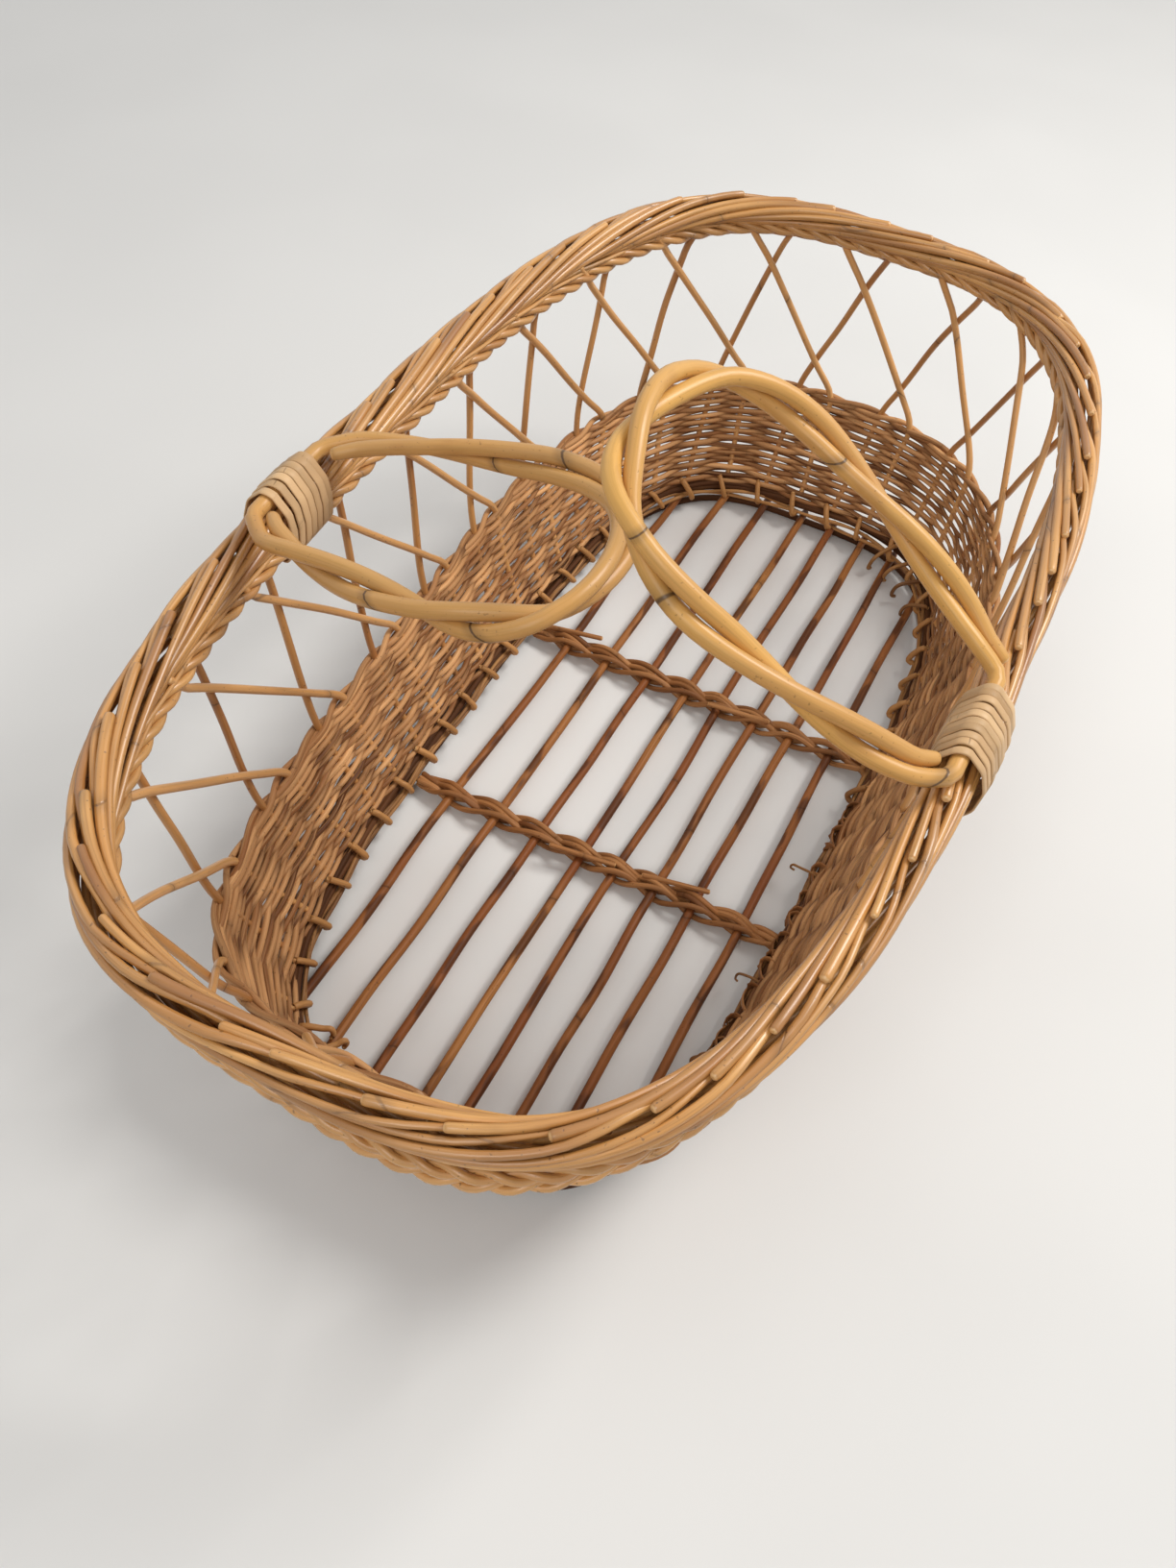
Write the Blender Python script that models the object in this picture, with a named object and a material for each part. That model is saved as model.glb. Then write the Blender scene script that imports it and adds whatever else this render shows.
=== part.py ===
"""A rattan bassinet: an oval basket of cane with a slatted base, a woven wall, a lattice of
crossed stakes, a thick rolled rim and two looped handles that swing in their bindings.

The foot end is at -X, the head end at +X, the left side at +Y, and the base stands on Z = 0.
All lengths are in metres. Values whose name ends in SHARE or SHARES are parts of another size.
"""
import math
from collections import namedtuple

import bmesh
import bpy
import numpy as np
from mathutils import Matrix, Vector

# An oval: half of its length and width, how square its head and foot ends are, how much wider
# it is at the head than in the middle, and how far its middle lies towards the head.
Oval = namedtuple("Oval", "half_length half_width head_power foot_power taper_share shift")

# Whole basket
LENGTH = 0.780
WIDTH = 0.4270
RIM_TOP = 0.2567
CLEARANCE = 0.0003

# Rim: the rolled border of canes and the twined band under it
BORDER_RADIUS = 0.014
BORDER_GROOVE = 0.0022
BORDER_LOBES = 6
BORDER_TWISTS = 5
BORDER_HEAD_POWER = 2.89
BORDER_FOOT_POWER = 3.02
BAND_RADIUS = 0.0053
BAND_WIDTH = 0.0170

# Woven wall: its middle line at the top, as shares of the whole basket, its thickness over the
# weavers, and the rows of its weave, each drawn wide
WALL_TOP = 0.0999
WALL_TOP_LENGTH_SHARE = 0.8690
WALL_TOP_WIDTH_SHARE = 0.8342
WALL_TOP_SHIFT_SHARE = 0.0405
WALL_HEAD_POWER = 2.57
WALL_FOOT_POWER = 4.85
WALL_TAPER_SHARE = 0.079
WALL_THICKNESS = 0.008
WALL_RELIEF = 0.0028
WALL_ROWS = 8
WALL_COLUMN_SHARE = 0.30
WALL_BULGE = 0.003

# Base: the inner edge of the hoops, as shares of the whole basket, and the canes on each other
BASE_LENGTH_SHARE = 0.7785
BASE_WIDTH_SHARE = 0.6319
BASE_SHIFT_SHARE = 0.0246
BASE_HEAD_POWER = 3.58
BASE_FOOT_POWER = 3.91
BASE_TAPER_SHARE = 0.030
LOWER_HOOP_RADIUS = 0.0032
UPPER_HOOP_RADIUS = 0.0055
INNER_HOOP_RADIUS = 0.0025
SLAT_RADIUS = 0.003
SLAT_OVERHANG = 0.003
SLAT_PLACE_SHARES = (0.795, 0.541, 0.295, 0.047, -0.149, -0.364, -0.571, -0.813)

# Cross bars: two pairs of thin canes twined over and under the slats
CROSS_CANE_RADIUS = 0.0018
CROSS_CANE_SPREAD = 0.0021
CROSS_END_GAP = 0.0012
CROSS_BAR_NAMES = ("foot", "head")
CROSS_BAR_PLACE_SHARES = (-0.2273, 0.3294)

# Lattice: pairs of stakes that cross low on the wall and again under the rim
STAKE_PAIRS = 26
STAKE_RADIUS = 0.0025
STAKE_BASE_SHARE = 0.20
STAKE_TOP_SHARE = 0.63
STAKE_WALL_PHASE_SHARE = 0.40
STAKE_RIM_PHASE_SHARE = 0.62
STAKE_END_SHARE = 0.60
STAKE_LOW_OFFSET = 0.0010
STAKE_HIGH_OFFSET = 0.0028
STAKE_TOP_INSET = 0.003

# Handles: two poles twisted together into a loop, hung in a binding on the rim
POLE_RADIUS = 0.00475
POLE_GAP = 0.0007
POLE_RAMP = 0.030
TWIST_START = 0.026
SEAT_ANGLE = math.radians(5)
# Half widths of the loop at shares of its length, from the binding to the tip
LOOP_SHARES = (
    (0.00, 0.46), (0.06, 0.62), (0.18, 0.77), (0.35, 0.89), (0.55, 0.97),
    (0.70, 1.00), (0.83, 0.91), (0.94, 0.67), (1.00, 0.25),
)
# The winding of flat cane that holds each handle to the rim
STRIP_THICKNESS = 0.0010
STRIP_EDGE_GAP = 0.0005
BINDING_CLEARANCE = 0.0005

# The left handle, which leans far into the basket, and its winding
LEFT_CELL = 7
LEFT_LEAN = math.radians(80)
LEFT_LOOP_LENGTH = 0.2040
LEFT_LOOP_WIDTH = 0.1290
LEFT_LOOP_DRIFT = 0.0090
LEFT_LAY_SHARES = ((0.099, 0.0), (0.141, 0.158), (0.304, 0.636), (0.424, 1.117),
                   (0.826, 1.900), (0.901, 2.0))
LEFT_TURNS = 7
LEFT_STRIP_WIDTH = 0.0054

# The right handle, which stands steeper, and its winding
RIGHT_CELL = 18
RIGHT_LEAN = math.radians(60)
RIGHT_LOOP_LENGTH = 0.2225
RIGHT_LOOP_WIDTH = 0.1484
RIGHT_LAY_SHARES = ((0.096, 0.5), (0.234, 0.894), (0.408, 1.356), (0.516, 1.728),
                    (0.614, 2.136), (0.783, 2.633), (0.904, 3.0))
RIGHT_TURNS = 10
RIGHT_STRIP_WIDTH = 0.0048

# Facets
OUTLINE_STEPS = 1440
RIM_STEPS = 64
RING_STEPS = 52
FINE_SIDES = 8
CROSS_STEPS_PER_SLAT = 3
POLE_STEPS = 46
LOOP_STEPS_PER_POLE_STEP = 4
LOOP_STEPS_PER_CORNER = 24
BINDING_STEPS = 24
SHARP_ANGLE = math.radians(40)
WELD_SHARE = 0.1

# A handle: the lattice cell that it hangs over, how far it leans in from upright, its loop and
# how far the tip drifts along the hinge, the turns that its two poles have made round each other
# by each share of the way, and the winding's turns and width of cane
Handle = namedtuple("Handle", "cell lean length width drift lay turns strip_width")
HANDLES = {
    "left": Handle(LEFT_CELL, LEFT_LEAN, LEFT_LOOP_LENGTH, LEFT_LOOP_WIDTH, LEFT_LOOP_DRIFT,
                   LEFT_LAY_SHARES, LEFT_TURNS, LEFT_STRIP_WIDTH),
    "right": Handle(RIGHT_CELL, RIGHT_LEAN, RIGHT_LOOP_LENGTH, RIGHT_LOOP_WIDTH, 0.0,
                    RIGHT_LAY_SHARES, RIGHT_TURNS, RIGHT_STRIP_WIDTH),
}

# Sizes that follow from the ones above
BORDER_HEIGHT = RIM_TOP - BORDER_RADIUS
BORDER = Oval(LENGTH / 2 - BORDER_RADIUS, WIDTH / 2 - BORDER_RADIUS,
              BORDER_HEAD_POWER, BORDER_FOOT_POWER, 0.0, 0.0)
BAND_DROP = BORDER_RADIUS + CLEARANCE + BAND_RADIUS
BAND_REACH = BAND_WIDTH / 2 - BAND_RADIUS
BAND_HEIGHT = BORDER_HEIGHT - BAND_DROP
WALL_LINE = Oval(WALL_TOP_LENGTH_SHARE * LENGTH / 2, WALL_TOP_WIDTH_SHARE * WIDTH / 2,
                 WALL_HEAD_POWER, WALL_FOOT_POWER, WALL_TAPER_SHARE, WALL_TOP_SHIFT_SHARE * LENGTH)
BASE_LINE = Oval(BASE_LENGTH_SHARE * LENGTH / 2, BASE_WIDTH_SHARE * WIDTH / 2,
                 BASE_HEAD_POWER, BASE_FOOT_POWER, BASE_TAPER_SHARE, BASE_SHIFT_SHARE * LENGTH)
HALF_FACET = math.pi / FINE_SIDES
LOWER_HOOP_HEIGHT = LOWER_HOOP_RADIUS * math.cos(HALF_FACET)
SLAT_HEIGHT = 2 * LOWER_HOOP_HEIGHT + CLEARANCE + SLAT_RADIUS
SLAT_TOP = SLAT_HEIGHT + SLAT_RADIUS
UPPER_HOOP_HEIGHT = SLAT_TOP + CLEARANCE + UPPER_HOOP_RADIUS
INNER_HOOP_HEIGHT = SLAT_TOP + CLEARANCE + INNER_HOOP_RADIUS
INNER_HOOP_OUT = INNER_HOOP_RADIUS
UPPER_HOOP_OUT = 2 * INNER_HOOP_RADIUS + CLEARANCE + UPPER_HOOP_RADIUS
LOWER_HOOP_OUT = UPPER_HOOP_OUT
WALL_BOTTOM = UPPER_HOOP_HEIGHT + UPPER_HOOP_RADIUS + CLEARANCE
SEAT_DISTANCE = BORDER_RADIUS + POLE_GAP + POLE_RADIUS
TWIST_OFFSET = POLE_RADIUS + POLE_GAP / 2


def clear_scene():
    for thing in list(bpy.data.objects):
        bpy.data.objects.remove(thing)


def make_collection(name):
    collection = bpy.data.collections.new(name)
    bpy.context.scene.collection.children.link(collection)
    return collection


def make_material(name, colour, roughness):
    material = bpy.data.materials.new(name)
    material.use_nodes = True
    shader = material.node_tree.nodes["Principled BSDF"]
    shader.inputs["Base Color"].default_value = (*colour, 1.0)
    shader.inputs["Roughness"].default_value = roughness
    shader.inputs["Metallic"].default_value = 0.0
    material.diffuse_color = (*colour, 1.0)
    return material


def oval_outline(oval):
    """Points of the oval and its outward normals, counter-clockwise from the head end."""
    angle = (np.arange(OUTLINE_STEPS) + 0.5) * 2 * np.pi / OUTLINE_STEPS
    cosine, sine = np.cos(angle), np.sin(angle)
    power = np.where(cosine > 0, oval.head_power, oval.foot_power)
    x = oval.half_length * np.sign(cosine) * np.abs(cosine) ** (2 / power)
    y = oval.half_width * np.sign(sine) * np.abs(sine) ** (2 / power)
    y = y * (1 + oval.taper_share * x / oval.half_length)
    points = np.column_stack((x + oval.shift, y))
    tangent = np.roll(points, -1, axis=0) - np.roll(points, 1, axis=0)
    tangent /= np.linalg.norm(tangent, axis=1)[:, None]
    return points, np.column_stack((tangent[:, 1], -tangent[:, 0]))


def along(oval, fractions, out=0.0):
    """Points at fractions of the way round the oval, from the head end, and the normals there."""
    points, normals = oval_outline(oval)
    ring = np.vstack((points, points[:1]))
    normals = np.vstack((normals, normals[:1]))
    steps = np.linalg.norm(np.diff(ring, axis=0), axis=1)
    reached = np.concatenate(([0.0], np.cumsum(steps)))
    wanted = np.mod(np.asarray(fractions, float), 1.0) * reached[-1]
    place = np.column_stack([np.interp(wanted, reached, ring[:, i]) for i in range(2)])
    normal = np.column_stack([np.interp(wanted, reached, normals[:, i]) for i in range(2)])
    normal /= np.linalg.norm(normal, axis=1)[:, None]
    return place + out * normal, normal


def level_ring(oval, out, height, count):
    """A level ring of points at one distance outside the oval, evenly spaced."""
    flat, _ = along(oval, np.arange(count) / count, out)
    return [Vector((x, y, height)) for x, y in flat]


def reach_at(oval, out, across, end):
    """How far along X a line offset from the oval lies at one place across, at one end."""
    points, normals = oval_outline(oval)
    line = points + out * normals
    near = line[line[:, 0] * end > oval.shift * end]
    order = near[np.argsort(near[:, 1])]
    return float(np.interp(across, order[:, 1], order[:, 0]))


def make_tube(name, points, radius, material, collection, closed=False, resolution=1,
              tilts=None, profile=None):
    """A cane along the points, of the profile's section if one is given, and round if not."""
    data = bpy.data.curves.new(name, "CURVE")
    data.dimensions = "3D"
    data.twist_mode = "Z_UP"
    data.resolution_u = 1
    spline = data.splines.new("POLY")
    spline.points.add(len(points) - 1)
    for index, point in enumerate(points):
        spline.points[index].co = (*point, 1.0)
        if tilts is not None:
            spline.points[index].tilt = tilts[index]
    spline.use_cyclic_u = closed
    spline.use_smooth = True
    if profile is None:
        data.bevel_depth = radius
        data.bevel_resolution = resolution
    else:
        data.bevel_mode = "OBJECT"
        data.bevel_object = profile
    data.use_fill_caps = not closed
    data.materials.append(material)
    tube = bpy.data.objects.new(name, data)
    collection.objects.link(tube)
    return tube


def as_mesh(tube):
    """The same cane as a closed mesh with welded caps, in place of the curve."""
    graph = bpy.context.evaluated_depsgraph_get()
    mesh = bpy.data.meshes.new_from_object(tube.evaluated_get(graph))
    cage = bmesh.new()
    cage.from_mesh(mesh)
    bmesh.ops.remove_doubles(cage, verts=cage.verts, dist=WELD_SHARE * CLEARANCE)
    bmesh.ops.recalc_face_normals(cage, faces=cage.faces)
    cage.to_mesh(mesh)
    cage.free()
    mesh.shade_smooth()
    solid = bpy.data.objects.new(tube.name + "_solid", mesh)
    solid.matrix_world = tube.matrix_world
    for collection in tube.users_collection:
        collection.objects.link(solid)
    name = tube.name
    bpy.data.objects.remove(tube)
    solid.name = name
    return solid


def loft_closed(name, rings, material, collection):
    """A closed solid whose skin runs through each ring in turn and back to the first."""
    cage = bmesh.new()
    loops = [[cage.verts.new(point) for point in ring] for ring in rings]
    for first, second in zip(loops, loops[1:] + loops[:1]):
        for i, corner in enumerate(first):
            after = (i + 1) % len(first)
            cage.faces.new((corner, first[after], second[after], second[i]))
    bmesh.ops.recalc_face_normals(cage, faces=cage.faces)
    mesh = bpy.data.meshes.new(name)
    cage.to_mesh(mesh)
    cage.free()
    mesh.shade_smooth()
    mesh.set_sharp_from_angle(angle=SHARP_ANGLE)
    mesh.materials.append(material)
    solid = bpy.data.objects.new(name, mesh)
    collection.objects.link(solid)
    return solid


def make_base(parts, materials):
    hoop = materials["dark_cane"]
    flat_down = [HALF_FACET] * RING_STEPS
    make_tube("base_hoop_lower", level_ring(BASE_LINE, LOWER_HOOP_OUT, LOWER_HOOP_HEIGHT, RING_STEPS),
              LOWER_HOOP_RADIUS, hoop, parts, closed=True, resolution=2, tilts=flat_down)
    make_tube("base_hoop_upper", level_ring(BASE_LINE, UPPER_HOOP_OUT, UPPER_HOOP_HEIGHT, RING_STEPS),
              UPPER_HOOP_RADIUS, hoop, parts, closed=True, resolution=2)
    make_tube("base_hoop_inner", level_ring(BASE_LINE, INNER_HOOP_OUT, INNER_HOOP_HEIGHT, RING_STEPS),
              INNER_HOOP_RADIUS, hoop, parts, closed=True)
    for number, share in enumerate(SLAT_PLACE_SHARES, 1):
        across = share * BASE_LINE.half_width
        ends = [reach_at(BASE_LINE, LOWER_HOOP_OUT, across, end) + end * SLAT_OVERHANG
                for end in (-1, 1)]
        points = [Vector((x, across, SLAT_HEIGHT)) for x in ends]
        make_tube(f"base_slat_{number}", points, SLAT_RADIUS, materials["slat"], parts, resolution=2)


def cross_cane_points(place, turn, side):
    """A thin cane that passes over one slat and under the next, twisted round its partner."""
    slats = sorted(share * BASE_LINE.half_width for share in SLAT_PLACE_SHARES)
    half = BASE_LINE.half_width * (1 - BASE_LINE.taper_share) - CROSS_END_GAP
    knots = [-half] + slats + [half]
    rise = SLAT_RADIUS + CLEARANCE + CROSS_CANE_RADIUS
    points = []
    for index, (start, stop) in enumerate(zip(knots, knots[1:])):
        for step in range(CROSS_STEPS_PER_SLAT):
            part = step / CROSS_STEPS_PER_SLAT
            angle = math.pi * (index + part)
            points.append(Vector((place + side * turn * CROSS_CANE_SPREAD * math.sin(angle),
                                  start + (stop - start) * part,
                                  SLAT_HEIGHT + side * rise * math.cos(angle))))
    angle = math.pi * (len(knots) - 1)
    points.append(Vector((place, half, SLAT_HEIGHT + side * rise * math.cos(angle))))
    return points


def make_cross_bars(parts, materials):
    pair_width = 2 * (CROSS_CANE_SPREAD + CROSS_CANE_RADIUS) + CLEARANCE
    for bar, share in zip(CROSS_BAR_NAMES, CROSS_BAR_PLACE_SHARES):
        place = share * BASE_LINE.half_length
        for letters, turn in (("ab", 1), ("cd", -1)):
            middle = place + turn * pair_width / 2
            for letter, side in zip(letters, (1, -1)):
                make_tube(f"cross_cane_{bar}_{letter}", cross_cane_points(middle, turn, side),
                          CROSS_CANE_RADIUS, materials["dark_cane"], parts)


def make_wall(parts, materials):
    """The flaring woven wall as one ring. Each row passes outside one stake and inside the next."""
    fractions = (np.arange(RING_STEPS) + WALL_COLUMN_SHARE) / RING_STEPS
    foot, foot_normal = along(BASE_LINE, fractions, UPPER_HOOP_OUT)
    top, top_normal = along(WALL_LINE, fractions)
    outside, inside = [], []
    for row in range(WALL_ROWS + 2):
        share = min(max((row - 0.5) / WALL_ROWS, 0.0), 1.0)
        normal = foot_normal * (1 - share) + top_normal * share
        normal /= np.linalg.norm(normal, axis=1)[:, None]
        middle = foot * (1 - share) + top * share + WALL_BULGE * math.sin(math.pi * share) * normal
        height = WALL_BOTTOM + (WALL_TOP - WALL_BOTTOM) * share
        relief = WALL_RELIEF if 0.0 < share < 1.0 else 0.0
        passes_outside = (np.arange(RING_STEPS) + row) % 2
        outer = WALL_THICKNESS / 2 - relief * (1 - passes_outside)
        inner = WALL_THICKNESS / 2 - relief * passes_outside
        for rings, reach in ((outside, outer), (inside, -inner)):
            flat = middle + reach[:, None] * normal
            rings.append([Vector((x, y, height)) for x, y in flat])
    loft_closed("woven_wall", outside + inside[::-1], materials["weave"], parts)


def stake_points(pair, side):
    """One stake of a pair. Side 1 leans towards higher fractions of the way round, outside."""
    low = WALL_TOP + CLEARANCE + STAKE_END_SHARE * STAKE_RADIUS
    high = BAND_HEIGHT - BAND_RADIUS - CLEARANCE - STAKE_END_SHARE * STAKE_RADIUS
    reach = STAKE_BASE_SHARE + STAKE_TOP_SHARE
    low_crossing = STAKE_BASE_SHARE / reach
    high_crossing = (0.5 + STAKE_BASE_SHARE) / reach
    points = []
    for rise in (0.0, low_crossing, high_crossing, 1.0):
        phase = STAKE_WALL_PHASE_SHARE * (1 - rise) + STAKE_RIM_PHASE_SHARE * rise
        fraction = (pair + phase + side * (reach * rise - STAKE_BASE_SHARE)) / STAKE_PAIRS
        wall, normal = along(WALL_LINE, [fraction])
        rim, _ = along(BORDER, [fraction], -STAKE_TOP_INSET)
        blend = min(max((rise - low_crossing) / (high_crossing - low_crossing), 0.0), 1.0)
        offset = STAKE_LOW_OFFSET + (STAKE_HIGH_OFFSET - STAKE_LOW_OFFSET) * blend
        flat = wall[0] * (1 - rise) + rim[0] * rise + side * offset * normal[0]
        points.append(Vector((flat[0], flat[1], low + (high - low) * rise)))
    return points


def make_lattice(parts, cutters, materials):
    for pair in range(STAKE_PAIRS):
        name = f"stake_pair_{pair + 1:02d}"
        outer = as_mesh(make_tube(name, stake_points(pair, 1), STAKE_RADIUS, materials["stake"], parts))
        inner = as_mesh(make_tube(name + "_inner", stake_points(pair, -1), STAKE_RADIUS,
                                  materials["stake"], cutters))
        inner.hide_render = True
        inner.display_type = "WIRE"
        joined = outer.modifiers.new("crossing", "BOOLEAN")
        joined.operation = "UNION"
        joined.solver = "EXACT"
        joined.object = inner


def border_profile(cutters):
    """The lobed section of the border: one rounded lobe for each cane that lies side by side."""
    data = bpy.data.curves.new("border_section", "CURVE")
    data.dimensions = "2D"
    spline = data.splines.new("POLY")
    count = 2 * BORDER_LOBES
    spline.points.add(count - 1)
    for index in range(count):
        radius = BORDER_RADIUS - (index % 2) * BORDER_GROOVE
        angle = -2 * math.pi * index / count
        spline.points[index].co = (radius * math.cos(angle), radius * math.sin(angle), 0.0, 1.0)
    spline.use_cyclic_u = True
    section = bpy.data.objects.new("border_section", data)
    cutters.objects.link(section)
    section.hide_render = True
    section.display_type = "WIRE"
    return section


def make_rim(parts, cutters, materials):
    turning = 2 * math.pi * BORDER_TWISTS
    tilts = [turning * step / RIM_STEPS for step in range(RIM_STEPS)]
    make_tube("rim_border", level_ring(BORDER, 0.0, BORDER_HEIGHT, RIM_STEPS), BORDER_RADIUS,
              materials["border"], parts, closed=True, tilts=tilts, profile=border_profile(cutters))
    rings = []
    for side in range(FINE_SIDES):
        angle = 2 * math.pi * side / FINE_SIDES
        height = BAND_HEIGHT + BAND_RADIUS * math.sin(angle)
        rings.append(level_ring(BORDER, BAND_WIDTH / 2 * math.cos(angle), height, RING_STEPS))
    loft_closed("rim_band", rings, materials["weave"], parts)


def handle_frame(handle):
    """Where the handle hangs: the point on its hinge line, and along, out and up there."""
    fraction = (handle.cell + STAKE_RIM_PHASE_SHARE) / STAKE_PAIRS
    flat, normal = along(BORDER, [fraction])
    out = Vector((*normal[0], 0.0))
    up = Vector((0.0, 0.0, 1.0))
    heading = Vector((-out.y, out.x, 0.0))
    rim = Vector((*flat[0], BORDER_HEIGHT))
    hinge = rim + SEAT_DISTANCE * (math.cos(SEAT_ANGLE) * up - math.sin(SEAT_ANGLE) * out)
    return rim, hinge, heading, out, up


def smooth_loop(corners, count):
    """Evenly spaced points on a closed smooth curve through the corners."""
    ring = np.array(corners)
    fine = []
    size = len(ring)
    for index in range(size):
        before, start, stop, after = (ring[(index + shift) % size] for shift in (-1, 0, 1, 2))
        for part in np.arange(LOOP_STEPS_PER_CORNER) / LOOP_STEPS_PER_CORNER:
            fine.append(0.5 * (2 * start + (stop - before) * part
                               + (2 * before - 5 * start + 4 * stop - after) * part ** 2
                               + (3 * start - before - 3 * stop + after) * part ** 3))
    fine = np.array(fine + fine[:1])
    reached = np.concatenate(([0.0], np.cumsum(np.linalg.norm(np.diff(fine, axis=0), axis=1))))
    wanted = np.arange(count) * reached[-1] / count
    flat = np.column_stack([np.interp(wanted, reached, fine[:, i]) for i in range(2)])
    return flat, reached[-1]


def loop_outline(handle, count):
    """The middle line of the loop in its own plane: along the hinge, where it is straight, and
    away from it."""
    half = handle.width / 2
    right = [(half * wide + handle.drift * rise, handle.length * rise) for rise, wide in LOOP_SHARES]
    left = [(-half * wide + handle.drift * rise, handle.length * rise) for rise, wide in LOOP_SHARES]
    middle = [(0.0, 0.0)]
    flat, girth = smooth_loop(middle + right + left[::-1], count)
    flat[:, 1] = np.maximum(flat[:, 1], 0.0)
    return flat, girth


def make_handle(side, handle, parts, materials):
    _, hinge, heading, out, up = handle_frame(handle)
    axis = bpy.data.objects.new(f"handle_{side}_hinge", None)
    axis.location = hinge
    parts.objects.link(axis)
    stride = LOOP_STEPS_PER_POLE_STEP
    flat, girth = loop_outline(handle, stride * POLE_STEPS)
    tangent = np.roll(flat, -1, axis=0) - np.roll(flat, 1, axis=0)
    tangent /= np.linalg.norm(tangent, axis=1)[:, None]
    outward = np.column_stack((tangent[:, 1], -tangent[:, 0]))
    away = math.cos(handle.lean) * up - math.sin(handle.lean) * out
    face = heading.cross(away)
    place = np.arange(len(flat)) / len(flat) * girth
    straight = LOOP_SHARES[0][1] * handle.width / 2
    ramp = np.clip((np.minimum(place, girth - place) - straight) / POLE_RAMP, 0.0, 1.0)
    ramp = ramp * ramp * (3 - 2 * ramp)
    start = straight + TWIST_START
    way_round, turns_made = zip(*handle.lay)
    angle = 2 * np.pi * np.interp(place / girth, way_round, turns_made)

    def lay(reach, rows):
        points = []
        for row in rows:
            across = math.cos(angle[row]) * reach[row]
            proud = math.sin(angle[row]) * reach[row]
            s, t = flat[row] + across * outward[row]
            points.append(s * heading + t * away + proud * face)
        return points

    main = lay(TWIST_OFFSET * ramp, range(0, len(flat), stride))
    free = np.nonzero((place >= start) & (place <= girth - start))[0]
    rows = [free[0], *free[stride:-stride:stride], free[-1]]
    twin = lay(-TWIST_OFFSET * (2 - ramp), rows)
    for letter, points, closed in (("a", main, True), ("b", twin, False)):
        pole = make_tube(f"handle_{side}_pole_{letter}", points, POLE_RADIUS, materials["pole"], parts,
                         closed=closed)
        pole.parent = axis


def hull_point(circles, angle):
    """The point of the circles' common outline that lies furthest in one direction."""
    way = np.array((math.cos(angle), math.sin(angle)))
    centre, radius = max(circles, key=lambda circle: float(np.dot(circle[0], way)) + circle[1])
    return np.array(centre) + radius * way


def make_binding(side, handle, parts, materials):
    """A flat strip wound round the rim and the handle's straight stretch in one unbroken run."""
    rim, hinge, _, out, up = handle_frame(handle)
    grow = BINDING_CLEARANCE + STRIP_THICKNESS / 2
    seat = hinge - rim
    circles = (
        ((0.0, 0.0), BORDER_RADIUS + grow),
        ((-BAND_REACH, -BAND_DROP), BAND_RADIUS + grow),
        ((BAND_REACH, -BAND_DROP), BAND_RADIUS + grow),
        ((seat.dot(out), seat.dot(up)), POLE_RADIUS + grow),
    )
    pitch = handle.strip_width + STRIP_EDGE_GAP
    count = handle.turns * BINDING_STEPS
    points = []
    for step in range(count + 1):
        turn = step / BINDING_STEPS
        flat = hull_point(circles, 2 * math.pi * turn - math.pi / 2)
        points.append(Vector((flat[0], flat[1], (turn - handle.turns / 2) * pitch)))
    strip = make_tube(f"binding_{side}", points, STRIP_THICKNESS / 2, materials["strip"], parts,
                      resolution=0)
    strip.data.extrude = (handle.strip_width - STRIP_THICKNESS) / 2
    turned = Matrix((out, up, out.cross(up))).transposed().to_4x4()
    strip.matrix_world = Matrix.Translation(rim) @ turned
    apart = min((points[i] - points[i + BINDING_STEPS]).length for i in range(count + 1 - BINDING_STEPS))
    gap = (apart - handle.strip_width) * 1000
    print(f"binding_{side}: {handle.turns} turns, least gap to itself {gap:.2f} mm")


def make_bassinet():
    clear_scene()
    parts = make_collection("rattan_bassinet")
    cutters = make_collection("helpers")
    materials = {
        "dark_cane": make_material("dark_cane", (0.10, 0.045, 0.018), 0.55),
        "slat": make_material("slat", (0.23, 0.085, 0.030), 0.50),
        "weave": make_material("weave", (0.30, 0.150, 0.060), 0.60),
        "stake": make_material("stake", (0.42, 0.220, 0.090), 0.50),
        "border": make_material("border", (0.47, 0.245, 0.095), 0.50),
        "pole": make_material("pole", (0.60, 0.340, 0.110), 0.40),
        "strip": make_material("strip", (0.56, 0.410, 0.230), 0.60),
    }
    make_base(parts, materials)
    make_cross_bars(parts, materials)
    make_wall(parts, materials)
    make_lattice(parts, cutters, materials)
    make_rim(parts, cutters, materials)
    for side, handle in HANDLES.items():
        make_handle(side, handle, parts, materials)
        make_binding(side, handle, parts, materials)


make_bassinet()
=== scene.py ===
import math

import bmesh
import bpy
import numpy as np
from mathutils import Matrix, Vector


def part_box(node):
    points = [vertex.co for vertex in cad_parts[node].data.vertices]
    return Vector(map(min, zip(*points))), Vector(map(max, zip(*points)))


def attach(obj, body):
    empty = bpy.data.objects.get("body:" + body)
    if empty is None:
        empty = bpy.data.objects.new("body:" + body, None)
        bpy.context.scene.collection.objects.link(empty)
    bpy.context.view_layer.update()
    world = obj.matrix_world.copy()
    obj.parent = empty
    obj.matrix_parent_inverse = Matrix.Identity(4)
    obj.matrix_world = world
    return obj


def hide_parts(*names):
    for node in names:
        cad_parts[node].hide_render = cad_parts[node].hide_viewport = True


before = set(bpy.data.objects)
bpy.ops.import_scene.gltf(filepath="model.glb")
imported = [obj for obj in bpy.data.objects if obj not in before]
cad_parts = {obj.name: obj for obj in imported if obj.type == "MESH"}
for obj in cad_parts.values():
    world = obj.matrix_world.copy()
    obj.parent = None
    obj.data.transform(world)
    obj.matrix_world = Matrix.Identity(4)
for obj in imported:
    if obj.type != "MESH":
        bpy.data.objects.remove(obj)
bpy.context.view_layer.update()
dice = np.random.default_rng(26)  # every irregularity comes from here, so each run is the same


# the basket's lines: the same ovals as the solids, foot end at -X, head end at +X

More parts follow.
